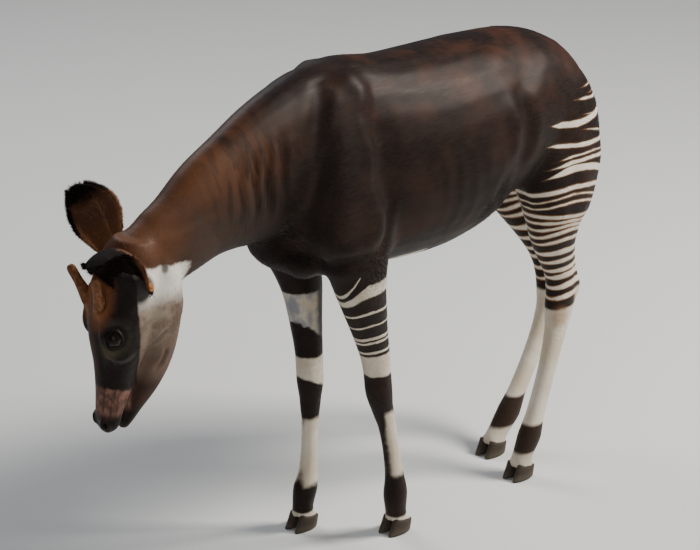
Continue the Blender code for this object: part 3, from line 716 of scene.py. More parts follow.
print("the dark coat mixes", len((DARK, BROWN, RUST, NAPE, MAUVE)), "colours")


# %% [markdown]
# ## Stripes
# A hind leg's stripes run level round the leg, so they are drawn in two numbers: the height, and how
# far behind the leg's own middle a point lies. That middle is a bent line, different for each leg, so
# both sides can take the same stripes however far each leg is set back.

# %% Numbers that follow a leg
HIND_MIDDLE = {
    "left": [(0.16, 0.650), (0.30, 0.699), (0.39, 0.733), (0.45, 0.752), (0.53, 0.762), (0.62, 0.750),
             (0.69, 0.726), (0.78, 0.708), (0.95, 0.718), (1.15, 0.713)],
    "right": [(0.15, 0.760), (0.262, 0.830), (0.352, 0.880), (0.415, 0.908), (0.50, 0.920), (0.59, 0.902),
              (0.67, 0.872), (0.76, 0.834), (0.855, 0.794), (1.05, 0.733)],
}
FORE_MIDDLE = {
    "left": [(0.03, 0.108), (0.125, 0.097), (0.26, 0.080), (0.35, 0.063), (0.465, 0.031), (0.57, 0.010),
             (0.65, -0.016), (0.74, -0.046), (0.83, -0.074), (0.92, -0.090)],
    "right": [(0.03, -0.064), (0.125, -0.059), (0.175, -0.052), (0.35, -0.051), (0.56, -0.049),
              (0.645, -0.045), (0.74, -0.041), (0.83, -0.057), (0.92, -0.082)],
}


def middle_of(p, rows):
    """Looks up the leg's middle at this height, as a grey ramp."""
    heights = [z for z, _ in rows]
    low, high = heights[0], heights[-1]
    places = [x for _, x in rows]
    front, behind = min(places), max(places)
    part = p.node("ShaderNodeMapRange", {0: p.axis(2), 1: low, 2: high, 3: 0.0, 4: 1.0})
    ramp = p.tree.nodes.new("ShaderNodeValToRGB")
    stops = ramp.color_ramp.elements
    while len(stops) < len(rows):
        stops.new(0.5)
    for stop, (z, x) in zip(stops, rows):
        stop.position = (z - low) / (high - low)
        grey = (x - front) / (behind - front)
        stop.color = (grey, grey, grey, 1)
    p.tree.links.new(part.socket, ramp.inputs[0])
    return Field(p.tree, ramp.outputs[0]) * (behind - front) + front


def leg_numbers(p, middles):
    """Distance behind the leg's middle, and whether the point is on the animal's right."""
    right = p.axis(1).step(-0.002, 0.002)
    left_middle = middle_of(p, middles["left"])
    right_middle = middle_of(p, middles["right"])
    return p.axis(0) - (left_middle + right * (right_middle - left_middle)), right


print("leg middles:", sum(len(rows) for rows in HIND_MIDDLE.values()), "spots on the hind legs")

# %% [markdown]
# Each white stripe is a short curve through three heights, in front of the leg's middle, at it and
# behind it. Its width tapers to a point at its front end. Repeated bands of one wave would be quicker,
# but the real stripes differ in width, bend and length, and some stop halfway.

# %% Stripes of the haunch
# heights in front, at the middle and behind, then the half width and where the front end lies
STRIPES = [
    (1.190, 1.188, 1.184, 0.0024, -0.01),
    (1.178, 1.173, 1.163, 0.0024, 0.02),
    (1.172, 1.163, 1.150, 0.0036, -0.05),
    (1.128, 1.121, 1.104, 0.0026, -0.02),
    (1.116, 1.099, 1.103, 0.0090, -0.16),
    (1.085, 1.080, 1.056, 0.0024, -0.04),
    (1.052, 1.037, 1.028, 0.0062, -0.17),
    (1.000, 1.008, 1.000, 0.0026, -0.14),
    (0.984, 0.991, 0.982, 0.0054, -0.16),
    (0.960, 0.971, 0.944, 0.0105, -0.16),
    (0.914, 0.916, 0.896, 0.0066, -0.24),
    (0.890, 0.894, 0.862, 0.0024, -0.24),
    (0.868, 0.872, 0.842, 0.0030, -0.22),
    (0.838, 0.826, 0.808, 0.0054, -0.22),
    (0.816, 0.810, 0.786, 0.0050, -0.20),
    (0.790, 0.796, 0.766, 0.0050, -0.20),
    (0.762, 0.780, 0.748, 0.0056, -0.19),
    (0.738, 0.752, 0.722, 0.0058, -0.17),
    (0.700, 0.710, 0.690, 0.0092, -0.16),
    (0.664, 0.676, 0.656, 0.0074, -0.15),
    (0.630, 0.642, 0.628, 0.0078, -0.14),
    (0.596, 0.618, 0.600, 0.0100, -0.13),
    (0.556, 0.582, 0.570, 0.0095, -0.12),
    (0.526, 0.546, 0.536, 0.0080, -0.12),
]
STRIPE_REACH = 0.10
STRIPE_TAPER = 0.12
STRIPE_EDGE = 0.006


def stripes(u, v, wobble):
    """Nearness to the closest stripe: above zero inside one, in metres."""
    found = None
    for front, middle, behind, half, tip in STRIPES:
        bend = (front + behind) / 2 - middle
        lean = (behind - front) / 2
        centre = (u * (bend / STRIPE_REACH ** 2) + lean / STRIPE_REACH) * u + middle
        width = u.step(tip, tip + STRIPE_TAPER) * (half + STRIPE_EDGE) - STRIPE_EDGE
        inside = width - abs(v - centre)
        found = inside if found is None else found.most(inside)
    return found + wobble


print("stripes:", len(STRIPES), "on each haunch")

# %% [markdown]
# Down the hind leg the stripes gain tan edges, the cannon is cream, and a dark fetlock stands over a
# pale ring at the hoof. All borders are the same kind of soft threshold, shifted a few millimetres by
# noise, as hair breaks an edge.

# %% The hind legs' material
def hind_leg_material():
    material, surface, p = new_material("striped_coat")
    colour, hair, patch = dark_coat(p)
    u, right = leg_numbers(p, HIND_MIDDLE)
    z = p.axis(2)
    v = z + right * (z.step(0.90, 0.55) * 0.035)
    ragged = (p.scaled((30, 30, 90)).noise(1.0, 3.0) - 0.5) * 0.006
    edge = stripes(u, v, ragged)
    low_down = (z.step(0.98, 0.80) * 0.55 + 0.30) * edge.step(-0.0042, -0.0008)
    colour = low_down.mix(colour, TAN)
    colour = edge.step(-0.0010, 0.0022).mix(colour, WHITE)
    pale = (v + ragged * 2.0).step(0.512, 0.498)
    colour = pale.mix(colour, patch.step(0.35, 0.70).mix(CREAM, WHITE))
    heel = (v + ragged).step(0.500, 0.520) * (v + ragged).step(0.560, 0.545) * (u - 0.010).step(0.02, 0.05)
    colour = (heel * 0.9).mix(colour, CREAM)
    stain = p.near((0.735, -0.150, 0.480), (0.030, 0.030, 0.030), 0.6)
    colour = (stain * 0.6).mix(colour, TAN)
    colour = (z + ragged).step(0.172, 0.160).mix(colour, FETLOCK)
    colour = (z + ragged).step(0.088, 0.074).mix(colour, CORONET)
    fine = streaks(p, (0, 0, 0), 300.0, 300.0)
    finish_surface(surface, colour, hair * 0.25 + 0.38, fine, HAIR_BUMP)
    return material


# %% [markdown]
# The forelegs differ from each other. The left one has an arched white band with a spur above it, five
# thin lines and a broad band above the knee. The right one has a torn white patch, clouded with painted
# shade in blue grey, and one slanted band. One material draws both, each marking multiplied by the side
# it belongs to.

# %% The forelegs' material
THIN_LINES = [(0.755, 0.004), (0.710, 0.003), (0.664, 0.005), (0.648, 0.004), (0.612, 0.004)]


def fore_leg_material():
    material, surface, p = new_material("banded_coat")
    colour, hair, patch = dark_coat(p)
    u, right = leg_numbers(p, FORE_MIDDLE)
    z = p.axis(2)
    ragged = (p.scaled((40, 40, 60)).noise(1.0, 4.0) - 0.5) * 0.020
    fine_edge = (p.scaled((60, 60, 90)).noise(1.0, 3.0) - 0.5) * 0.006
    level = z + ragged * 0.6
    drop = (u + 0.025).least(0.0)
    left = 1 - right

    def band(height, low, high, soft=0.004):
        return height.step(low - soft, low + soft) * height.step(high + soft, high - soft)

    arch = level + drop * drop * 9.0
    arched = arch.step(0.805, 0.813) * (arch - drop * 0.25).step(0.850, 0.842)
    pale = left * (arched + band(level, 0.525, 0.596))
    thin = z + drop * drop * 5.0 + fine_edge
    for height, half in THIN_LINES:
        pale = pale + left * (half - abs(thin - height)).step(-0.0012, 0.0012)
    spur = 0.0034 - abs(z + fine_edge - u * 1.7 - 0.968) * 0.50 - (z - 0.800) * 0.025
    pale = pale + left * spur.step(-0.0008, 0.0008) * u.step(-0.044, -0.054) * z.step(0.880, 0.870)
    slanted = level.step(0.546, 0.536) * (level + u * 0.5).step(0.456, 0.466)
    torn = level + (u + 0.045).most(0.0) * 0.75 + ragged * (u.step(0.010, -0.040) * 1.8)
    pale = pale + right * (torn.step(0.638, 0.650) * level.step(0.734, 0.726) + slanted)
    cannon_top = right * -0.050 + 0.398
    cannon_low = right * -0.048 + 0.190
    cannon = (z + ragged - cannon_top).step(0.010, -0.010) * (z + ragged - cannon_low).step(-0.012, 0.012)
    front = (u + 0.018 + right * 0.008 + ragged * 0.3).step(-0.005, 0.005)
    pale = pale + cannon * front
    coronet = (z + fine_edge).step(0.060, 0.050)
    pale = (pale * z.step(0.885, 0.872) + coronet).least(1.0)
    cream = patch.step(0.35, 0.70).mix(CREAM, WHITE)
    # Painted shade: blue-grey clouds over the right leg's white patch, as white hair in shade.
    cloudy = p.scaled((28, 28, 18)).noise(1.0, 4.0)
    blue = right * band(level, 0.600, 0.742) * cloudy.step(0.36, 0.60)
    cream = (blue * 0.85).mix(cream, BLUE_GREY)
    back = right * band(level, 0.590, 0.750) * (u - 0.004 + ragged * 0.8).step(-0.010, 0.016)
    colour = (pale * (1 - back * 0.9)).mix(colour, cream)
    fine = streaks(p, (0, 0, 0), 300.0, 300.0)
    finish_surface(surface, colour, hair * 0.25 + 0.34, fine, HAIR_BUMP)
    return material


# %% [markdown]
# The trunk's coat lies flat and shines softly, so it is mostly bump: two noises drawn out along the
# hair, a fine one for single hairs and a coarse one for locks. Blades all over it would look like
# cracked skin at this size.

# %% The trunk's material
def trunk_material():
    material, surface, p = new_material("dark_coat")
    colour, hair, _ = dark_coat(p)
    fine = streaks(p, (0, HAIR_TILT, 0), 60.0, 420.0)
    finish_surface(surface, colour, hair * 0.16 + 0.44, fine * 0.9 + hair * 0.1, 0.0003)
    return material


# %% [markdown]
# ## The head's colours
# The face is measured in the head's own frame, so its zones stay put however the head is turned.
# Behind a slanted edge lies the cheek: beige above, browner toward the mouth, mottled, with a white
# patch at its back and a dark notch in that patch.

# %% The cheek
CHEEK = (0.300, 0.240, 0.180)
LOW_CHEEK = (0.150, 0.098, 0.070)
MOTTLE = (0.130, 0.088, 0.064)
JAW = (0.105, 0.066, 0.050)
THROAT_WHITE = (0.660, 0.620, 0.560)
NOTCH = [((-0.028, 0.058, -0.074), (0.012, 0.040, 0.010), 0.5, 0.8, (0.030, 0.018, 0.014))]


def cheek_colours(colour, h, ragged):
    x, top = h.axis(0), h.axis(2)
    cheek = x.step(-0.110, -0.300).mix(CHEEK, LOW_CHEEK)
    cheek = (h.noise(26.0, 5.0).step(0.42, 0.64) * 0.65).mix(cheek, MOTTLE)
    jaw = (top + ragged * 0.4).step(-0.085, -0.125) * x.step(-0.06, -0.14)
    cheek = (jaw * 0.60).mix(cheek, JAW)
    behind = (x + ragged * 0.35 + 0.022).step(0.006, -0.008)
    colour = behind.mix(colour, cheek)
    white = behind * (x + top * 0.25 + ragged * 0.5).step(-0.150, -0.095) * (top - 0.012).step(0.010, -0.010)
    # Partly painted sheen: the same grey mauve on the neck's side by the head.
    nape_side = (top + ragged * 0.6).step(-0.150, -0.168) * x.step(-0.125, -0.085)
    colour = nape_side.mix(colour, MAUVE)
    colour = (white * (1 - nape_side)).mix(colour, THROAT_WHITE)
    return zones(colour, h, NOTCH)


# %% [markdown]
# In front of that edge the face is dark, with an orange-brown brow, a browner bridge, and olive grey
# round the eye. The dark is partly the face's own and partly painted shade: its sharp edge follows a
# shadow line, and it covers pale hair round the eye, painted olive grey as in shade. Part of the
# bridge's brown is a painted highlight. A thin pale arc in front of the eye is a painted highlight, and
# the black under the ear is partly black hair and partly the ear's painted shadow.

# %% The dark face
# The second zone, the browner bridge, is partly a painted highlight along its ridge. The last two are pale
# hair round the eye, painted olive grey as in shade.
FACE_ZONES = [
    ((-0.115, 0.030, 0.100), (0.088, 0.052, 0.048), 0.4, 0.95, (0.230, 0.082, 0.028)),
    ((-0.270, 0.0, 0.078), (0.130, 0.022, 0.050), 0.5, 0.60, (0.060, 0.024, 0.014)),
    ((-0.212, 0.085, 0.040), (0.052, 0.050, 0.046), 0.4, 0.60, (0.052, 0.044, 0.032)),
    ((-0.238, 0.062, 0.052), (0.040, 0.030, 0.022), 0.5, 0.55, (0.110, 0.088, 0.050)),
]
# Partly painted shadow: black under the ear, partly black hair and partly the ear's painted shadow.
UNDER_EAR = [((-0.072, 0.090, -0.002), (0.042, 0.030, 0.030), 0.30, 0.95, (0.010, 0.0075, 0.0065))]
FACE_DARK = (0.0065, 0.0048, 0.0045)
FACE_SHEEN = (0.016, 0.014, 0.015)
ARC_HIGHLIGHT = (0.130, 0.125, 0.115)


def face_colours(colour, h, ragged, rough):
    x, top = h.axis(0), h.axis(2)
    # Partly painted shade: the dark face is the face's own dark hair, but its sharp edge follows a shadow
    # line and it covers pale hair round the eye.
    edge = top - x * 0.246 - 0.0292 + ragged * 0.20
    face = edge.step(-0.003, 0.005) * (x + ragged * 0.3).step(-0.010, -0.050)
    dark_face = h.noise(16.0, 3.0).step(0.42, 0.70).mix(FACE_DARK, FACE_SHEEN)
    colour = zones(face.mix(colour, dark_face), h, FACE_ZONES)
    # Painted highlight: a thin pale arc along the crease in front of the eye.
    outer = h.near((-0.212, 0.085, 0.028), (0.078, 0.070, 0.058), 0.06)
    inner = h.near((-0.208, 0.085, 0.034), (0.068, 0.070, 0.052), 0.06)
    arc = outer * (1 - inner) * x.step(-0.230, -0.262)
    colour = (arc * rough.step(0.30, 0.55) * 0.30).mix(colour, ARC_HIGHLIGHT)
    return zones(colour, h, UNDER_EAR)


# %% [markdown]
# The muzzle is bare, pink and smeared with brown, the chin brown, the nose near black. The head's
# material lays all these over the dark coat, and adds fine hair that lies back from the nose.

# %% The muzzle and the head's material
PINK = (0.230, 0.115, 0.085)
DULL_PINK = (0.110, 0.055, 0.042)
SMEAR = (0.045, 0.024, 0.020)
CHIN = (0.040, 0.019, 0.014)
NOSE = (0.0085, 0.0065, 0.0060)
LID = (0.0075, 0.0055, 0.0050)
FACE_HAIR_TIPS = (0.10, 0.085, 0.070)


def muzzle_colours(colour, h, ragged, rough):
    """The muzzle over the rest, and how far each spot belongs to the nose."""
    x, top = h.axis(0), h.axis(2)
    pink = rough.step(0.36, 0.62).mix(PINK, DULL_PINK)
    smear = h.scaled((16, 95, 95)).noise(1.0, 3.0).step(0.50, 0.66)
    pink = (smear * 0.75).mix(pink, SMEAR)
    colour = (x + ragged * 0.6 + 0.002).step(-0.350, -0.366).mix(colour, pink)
    chin = (x + 0.01).step(-0.300, -0.350) * (top - x * 0.136 - 0.0075 + ragged * 0.1).step(0.004, -0.004)
    colour = chin.mix(colour, CHIN)
    nose = (x + top * 0.25 + ragged * 0.5).step(-0.420, -0.446)
    return nose.mix(colour, NOSE), nose


def head_material():
    material, surface, p = new_material("head_coat")
    colour, _, _ = dark_coat(p)
    moved = p.scaled((1, 1, 1), tuple(SHIFT - POLL))
    x, width, top = (moved.along(row) for row in HEAD_TURN.to_3x3().inverted())
    h = x.node("ShaderNodeCombineXYZ", {0: x, 1: abs(width), 2: top})
    rough = h.noise(55.0, 4.0)
    ragged = (rough - 0.5) * 0.05
    fur = h.scaled((70, 260, 260)).noise(1.0, 4.0, 0.6)
    colour = cheek_colours(colour, h, ragged)
    colour = face_colours(colour, h, ragged, rough)
    colour, nose = muzzle_colours(colour, h, ragged, rough)
    colour = zones(colour, h, [(tuple(EYE), (0.038, 0.040, 0.035), 0.14, 1.0, LID)])
    colour = (fur.step(0.30, 0.75) * 0.05).mix(colour, FACE_HAIR_TIPS)
    finish_surface(surface, colour, nose * -0.10 + 0.52, fur * 0.8 + rough * 0.2, 0.0007)
    return material


coat_materials = [trunk_material(), head_material(), fore_leg_material(), hind_leg_material()]
print("coat materials:", [m.name for m in coat_materials])


# %% [markdown]
# Each face of the skin takes one of the four materials by its place. They share the dark coat's
# arithmetic, so where two of them meet, in the dark, no border shows.

# %% Lay the materials on the skin
def coat_index(spots):
    """Trunk 0, head 1, forelegs 2, hind legs 3, for spots in the home frame."""
    x, z = spots[:, 0], spots[:, 2]
    index = np.zeros(len(spots), int)
    index[(x < 0.20) & (z < 0.93)] = 2
    index[(x > 0.50) & (z < 1.22)] = 3
    index[past_throat(spots + MOVE) > -0.14] = 1
    return index


for material in coat_materials:
    skin.data.materials.append(material)
shares = coat_index(read(skin.data.polygons, "center") - MOVE)
skin.data.polygons.foreach_set("material_index", shares)
skin.data.update()
deliver(skin, "body_coat", *FLESH)
print("faces of trunk, head, forelegs and hind legs:", np.bincount(shares))

# %% [markdown]
# ## Eyes
# The eye is a wet ball, so dark that iris and pupil hardly part. The clear cornea bulges a little, so
# a fine sphere is pulled out in front by about a millimetre, and a thin clear coat makes it glint.

# %% Model the eyes
IRIS_DARK = (0.006, 0.004, 0.003)
IRIS_BROWN = (0.014, 0.008, 0.005)
CORNEA = 0.0012


def eye_material():
    material, surface, p = new_material("eye")
    finish_surface(surface, p.noise(160.0, 2.0).mix(IRIS_DARK, IRIS_BROWN), 0.12)
    surface.inputs["Specular IOR Level"].default_value = 0.12
    surface.inputs["Coat Weight"].default_value = 0.10
    surface.inputs["Coat Roughness"].default_value = 0.05
    return material


wet_eye = eye_material()
for side, sign in SIDES.items():
    centre = HEAD @ Vector((EYE.x, EYE.y * sign, EYE.z))
    out = (HEAD_TURN @ Vector((EYE_OUT.x, EYE_OUT.y * sign, EYE_OUT.z))).normalized()
    bpy.ops.object.select_all(action="DESELECT")
    bpy.ops.mesh.primitive_uv_sphere_add(segments=48, ring_count=32, radius=EYE_RADIUS, location=centre)
    ball = bpy.context.object
    ball.name = "eyeball_" + side
    bpy.ops.object.transform_apply(location=True, rotation=True, scale=True)
    spots = spots_of(ball)
    front = np.clip((spots - np.array(centre)) @ np.array(out) / EYE_RADIUS, 0, 1)
    put_back(ball, spots + np.array(out) * (CORNEA * smoothstep(front, 0.80, 0.98))[:, None])
    bpy.ops.object.shade_smooth()
    ball.data.materials.append(wet_eye)
    deliver(ball, "eye", "eye_" + side)
print("eyes:", EYE_RADIUS * 2000, "mm across")

# %% [markdown]
# ## Ears, ossicones and hooves
# These solids already have the right form but few faces, so each becomes a copy that is subdivided
# smooth. First the ears: each has a place, a length and a hollow side, and two materials. They are
# orange brown toward the root and near black toward the tip. The left hollow is painted in shade, near
# black, except a band along its outer edge, left orange brown where light reaches it.

# %% The ears' place and material
EARS = {
    "left": ((-0.8074, -0.1098, 1.0150), (-0.845, -0.02, 0.534), (-0.30, -0.42, -0.84)),
    "right": ((-0.7724, 0.0362, 1.0520), (0.00, 0.64, 0.77), (-0.74, -0.52, 0.36)),
}
EAR_LENGTH = 0.206
HOLLOW_FACING = 0.15
EAR_ROOT = (0.340, 0.145, 0.060)
EAR_MIDDLE = (0.210, 0.098, 0.052)
EAR_EDGE = (0.210, 0.098, 0.050)
EAR_SHADE = (0.012, 0.008, 0.006)
EAR_BLACK = (0.010, 0.007, 0.006)


def ear_frame(side):
    """Root, the way to the tip, the way the hollow faces, and the way across."""
    root, along, hollow = (Vector(v) for v in EARS[side])
    along.normalize()
    hollow = (hollow - along * hollow.dot(along)).normalized()
    return root + SHIFT, along, hollow, along.cross(hollow)


def ear_material(side, inside):
    material, surface, p = new_material(f"ear_{side}_{'hollow' if inside else 'back'}")
    root, along, hollow, across = ear_frame(side)
    root = root - SHIFT
    part = p.along(along) - root.dot(along)
    wide = p.along(across) - root.dot(across)
    grain = p.noise(34.0, 4.0)
    hair = p.scaled((120, 120, 120)).noise(1.0, 5.0, 0.7)
    way = part + (grain - 0.5) * 0.05
    if side == "left":
        colour = way.step(0.050, 0.130).mix(EAR_ROOT, EAR_MIDDLE)
        # Painted shade: the left hollow near black, with its lit outer edge kept orange brown.
        if inside:
            lit_edge = (wide + (grain - 0.5) * 0.01).step(0.030, 0.046) * way.step(0.140, 0.110)
            colour = lit_edge.mix(EAR_SHADE, EAR_EDGE)
        colour = way.step(0.140, 0.168).mix(colour, EAR_BLACK)
    else:
        colour = way.step(0.050, 0.130).mix(EAR_ROOT, EAR_MIDDLE)
        colour = way.step(0.158, 0.190).mix(colour, EAR_BLACK)
        rim = (abs(wide) + (grain - 0.5) * 0.02).step(0.060, 0.072)
        colour = (rim * way.step(0.020, 0.080)).mix(colour, EAR_BLACK)
    finish_surface(surface, colour, 0.7, hair, 0.0012)
    surface.inputs["Specular IOR Level"].default_value = 0.12
    return material


print("ears:", round(EAR_LENGTH * 1000), "mm long")

# %% [markdown]
# The ossicones are bone under short reddish hair, so their grain runs upward. The claws are dark horn
# with dust at the sole, and their grain lies in rings, as horn grows. The last two helpers lean or
# narrow a finished piece, to where the photograph shows its outline.

# %% Horn and hoof, and what leans or narrows a piece
def horn_material():
    material, surface, p = new_material("horn_skin")
    grain = p.noise(90.0, 4.0)
    colour = grain.step(0.30, 0.70).mix((0.100, 0.040, 0.018), (0.240, 0.100, 0.045))
    finish_surface(surface, colour, 0.55, p.scaled((260, 260, 60)).noise(1.0, 4.0), 0.0012)
    return material


def hoof_material():
    material, surface, p = new_material("hoof")
    grain = p.scaled((40, 40, 240)).noise(1.0, 4.0)
    dust = p.axis(2).step(0.030, 0.0)
    colour = grain.mix((0.030, 0.024, 0.020), (0.070, 0.055, 0.042))
    colour = (dust * 0.35).mix(colour, (0.160, 0.130, 0.095))
    finish_surface(surface, colour, 0.5, grain, 0.0012)
    return material


def dressed(node, name, material, slot, levels=2):
    """A smooth copy of one solid, with its material."""
    obj = copy_node(node)
    obj.name = name
    use(obj, "SUBSURF", levels=levels, render_levels=levels)
    bpy.ops.object.shade_smooth()
    obj.data.materials.append(material)
    deliver(obj, slot, node)
    return obj


def lean(obj, start, way, reach, shift, power=1.0):
    """Moves a piece's far end by shift, and what lies nearer its root by less."""
    spots = spots_of(obj)
    part = np.clip((spots - np.array(start)) @ np.array(way) / reach, 0, 1.1)
    put_back(obj, spots + np.array(shift) * (part ** power)[:, None])


def narrow(obj, start, way, share_kept, reach, along):
    """Draws a piece in toward its middle line, fully beyond its root."""
    spots = spots_of(obj)
    part = smoothstep((spots - np.array(start)) @ np.array(along), 0.1 * reach, 0.4 * reach)
    wide = (spots - np.array(start)) @ np.array(way)
    put_back(obj, spots - np.array(way) * (wide * (1 - share_kept) * part)[:, None])


# %% [markdown]
# Each face of an ear takes the hollow's material where it looks the hollow's way, and the back's
# elsewhere. A cut along the rim would also part them, but the faces are small enough to follow it.

# %% Dress the ears, ossicones and hooves
horn_skin, horn = horn_material(), hoof_material()
ears = {}
for side in SIDES:
    ear = dressed("ear_" + side, "skin_of_ear_" + side, ear_material(side, False), "ear_skin")
    ear.data.materials.append(ear_material(side, True))
    root, along, hollow, across = ear_frame(side)
    inner = read(ear.data.polygons, "normal") @ np.array(hollow) > HOLLOW_FACING
    ear.data.polygons.foreach_set("material_index", inner.astype(int))
    unwrap(ear, 0.004)
    if side == "right":
        narrow(ear, root, across, 0.86, EAR_LENGTH, along)
        lean(ear, root, along, EAR_LENGTH, (-0.0150, 0.0150, 0.0))
    ears[side] = ear
    ossicone = dressed("ossicone_" + side, "skin_of_ossicone_" + side, horn_skin, "horn_skin")
    if side == "left":
        start = HEAD @ Vector((-0.145, -0.037, 0.078))
        lean(ossicone, start, HEAD_TURN @ Vector((0.76, -0.46, 0.46)), 0.105, (0.006, 0.006, 0.022), 1.4)
for node in list(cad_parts):
    if node.startswith("hoof"):
        dressed(node, "horn_of_" + node, horn, "hoof", 1)
print("each ear:", triangles(ear), "triangles, each ossicone:", triangles(ossicone))

# %% [markdown]
# The tail is a smooth rod under its hair. A copy of the solid is fused at a fine grain, which also
# melts away the plain locks, because finer ones grow below.

# %% The tail's rod
tail = copy_node("tail")
tail.name = "skin_of_tail"
use(tail, "REMESH", mode="VOXEL", voxel_size=0.0035)
use(tail, "SMOOTH", factor=0.5, iterations=12)
unwrap(tail, 0.004)
bpy.ops.object.shade_smooth()
tail.data.materials.append(coat_materials[0])
deliver(tail, "body_coat", "tail")
print("tail:", triangles(tail), "triangles")

# %% [markdown]
# ## Growing the coat
# A tuft is a thin solid blade: a small triangle at the root, one or two more along its length, and a
# point. Particle hair would be quicker to set up, but it makes strands and no solid mesh. So thousands
# of blades are written into one mesh at a time. First their roots are spread over a surface, so many to
# each bit of area, with the surface's place on its OFBake map.

# %% Roots for the tufts
DICE = np.random.default_rng(11)
FEWER = 1
PATCH = 0.0015


def unit(vectors):
    return vectors / np.maximum(np.linalg.norm(vectors, axis=1), 1e-9)[:, None]


def roots_on(obj, count, chosen):
    """Places spread evenly over an object's triangles, weighed by chosen(spots, normals)."""
    mesh = obj.data
    mesh.calc_loop_triangles()
    corners = read(mesh.loop_triangles, "vertices", 3, np.int32)
    spots, normals = spots_of(obj)[corners], normals_of(obj)[corners]
    uv = read(mesh.uv_layers["OFBake"].data, "uv", 2)[read(mesh.loop_triangles, "loops", 3, np.int32)]
    faces = read(mesh.polygons, "material_index", 1, np.int32)
    owners = read(mesh.loop_triangles, "polygon_index", 1, np.int32)
    size = np.linalg.norm(np.cross(spots[:, 1] - spots[:, 0], spots[:, 2] - spots[:, 0]), axis=1)
    size = size * chosen(spots.mean(axis=1), normals.mean(axis=1))
    reach = np.cumsum(size)
    count = count // FEWER
    picks = np.searchsorted(reach, (np.arange(count) + DICE.random(count)) / count * reach[-1])
    picks = np.minimum(picks, len(corners) - 1)
    a, b = DICE.random(count), DICE.random(count)
    a, b = np.where(a + b > 1, 1 - a, a), np.where(a + b > 1, 1 - b, b)
    parts = np.stack([1 - a - b, a, b], 1)[:, :, None]
    return ((spots[picks] * parts).sum(1), unit((normals[picks] * parts).sum(1)),
            (uv[picks] * parts).sum(1), faces[owners[picks]])


# %% [markdown]
# Each blade is then bent along the skin beneath it: its middle line is laid on the nearest spot of the
# skin and lifted a little. Its place on the OFBake map is a tiny patch round its root, so that it takes
# the colour of its root.

# %% The tuft maker
ROOT_DEPTH = 0.0008
TAPER = 0.55


def blade_points(roots, lies, lengths, widths, lifts, thin, stops, ground):
    """The corners of each blade: three at the root and at each stop, and one at the tip."""
    spots, normals = roots[0], roots[1]
    sides = np.cross(lies, normals)
    parts = [0.0, *stops, 1.0]
    points = []
    for i, (part, lift) in enumerate(zip(parts, [-ROOT_DEPTH, *lifts])):
        middle = spots + lies * (lengths * part)[:, None]
        up = normals
        if ground is not None and i > 0:
            found = [ground.find_nearest(Vector(m), 0.06) for m in middle]
            hits = np.array([f[0] if f[0] is not None else m for f, m in zip(found, middle)])
            up = np.array([f[1] if f[0] is not None else n for f, n in zip(found, normals)])
            middle = hits
        middle = middle + up * (lift if np.ndim(lift) == 0 else lift[:, None])
        if i == len(parts) - 1:
            points.append(middle[:, None])
            continue
        half = (widths * (1.0 - TAPER * part ** 2) / 2)[:, None]
        points.append(np.stack([middle - sides * half, middle + up * (widths * thin)[:, None],
                                middle + sides * half], 1))
    return np.concatenate(points, 1)


def blade_faces(rings):
    """The triangles of one blade with this many rings of three corners below its tip."""
    faces = [(2, 1, 0)]
    for ring in range(rings - 1):
        for k in range(3):
            a, b = ring * 3 + k, ring * 3 + (k + 1) % 3
            faces += [(a, b, b + 3), (a, b + 3, a + 3)]
    for k in range(3):
        faces.append(((rings - 1) * 3 + k, (rings - 1) * 3 + (k + 1) % 3, rings * 3))
    return np.array(faces)


def blades(name, roots, lies, lengths, widths, lifts, thin, materials, slot, stops=(0.5,), ground=None):
    """One mesh of tufts. Lifts are heights over the skin at each stop and at the tip."""
    spots, normals, uv, kinds = roots
    count = len(spots)
    lies = unit(lies - normals * (lies * normals).sum(1)[:, None])
    points = blade_points(roots, lies, lengths, widths, lifts, thin, stops, ground)
    each = points.shape[1]
    faces = blade_faces(len(stops) + 1)
    all_faces = (faces[None] + (np.arange(count) * each)[:, None, None]).reshape(-1)
    mesh = bpy.data.meshes.new(name)
    mesh.vertices.add(count * each)
    mesh.vertices.foreach_set("co", points.astype(np.float32).ravel())
    mesh.loops.add(len(all_faces))
    mesh.loops.foreach_set("vertex_index", all_faces.astype(np.int32))
    mesh.polygons.add(len(all_faces) // 3)
    mesh.polygons.foreach_set("loop_start", np.arange(0, len(all_faces), 3, dtype=np.int32))
    mesh.polygons.foreach_set("material_index", np.repeat(kinds, len(faces)).astype(np.int32))
    mesh.update(calc_edges=True)
    across = np.array([-1.0, 0.0, 1.0])
    rings = [np.stack([across, np.full(3, 2.0 * part - 1)], 1) for part in (0.0, *stops)]
    local = np.concatenate(rings + [np.array([[0.0, 1.0]])]) * PATCH
    at = (uv[:, None] + local[None]).reshape(-1, 2)[all_faces]
    mesh.uv_layers.new(name="OFBake").data.foreach_set("uv", at.astype(np.float32).ravel())
    obj = bpy.data.objects.new(name, mesh)
    bpy.context.scene.collection.objects.link(obj)
    for material in materials:
        mesh.materials.append(material)
    only(obj)
    bpy.ops.object.shade_smooth()
    deliver(obj, slot)
    print(name + ":", count, "tufts,", triangles(obj), "triangles")
    return obj


def turned(vectors, normals, spread):
    """Turns each vector a little about its normal, so that no two tufts lie quite alike."""
    angle = DICE.normal(0, spread, len(vectors))[:, None]
    return vectors * np.cos(angle) + np.cross(normals, vectors) * np.sin(angle)


# %% [markdown]
# The lie of the coat: back and down over the trunk, straight down the legs, back along the neck, and
# from the nose up over the face. Hair stands out a little at the elbow, the flank, the brisket, the
# throat and the back of the thigh, where the photograph's outline is softest.

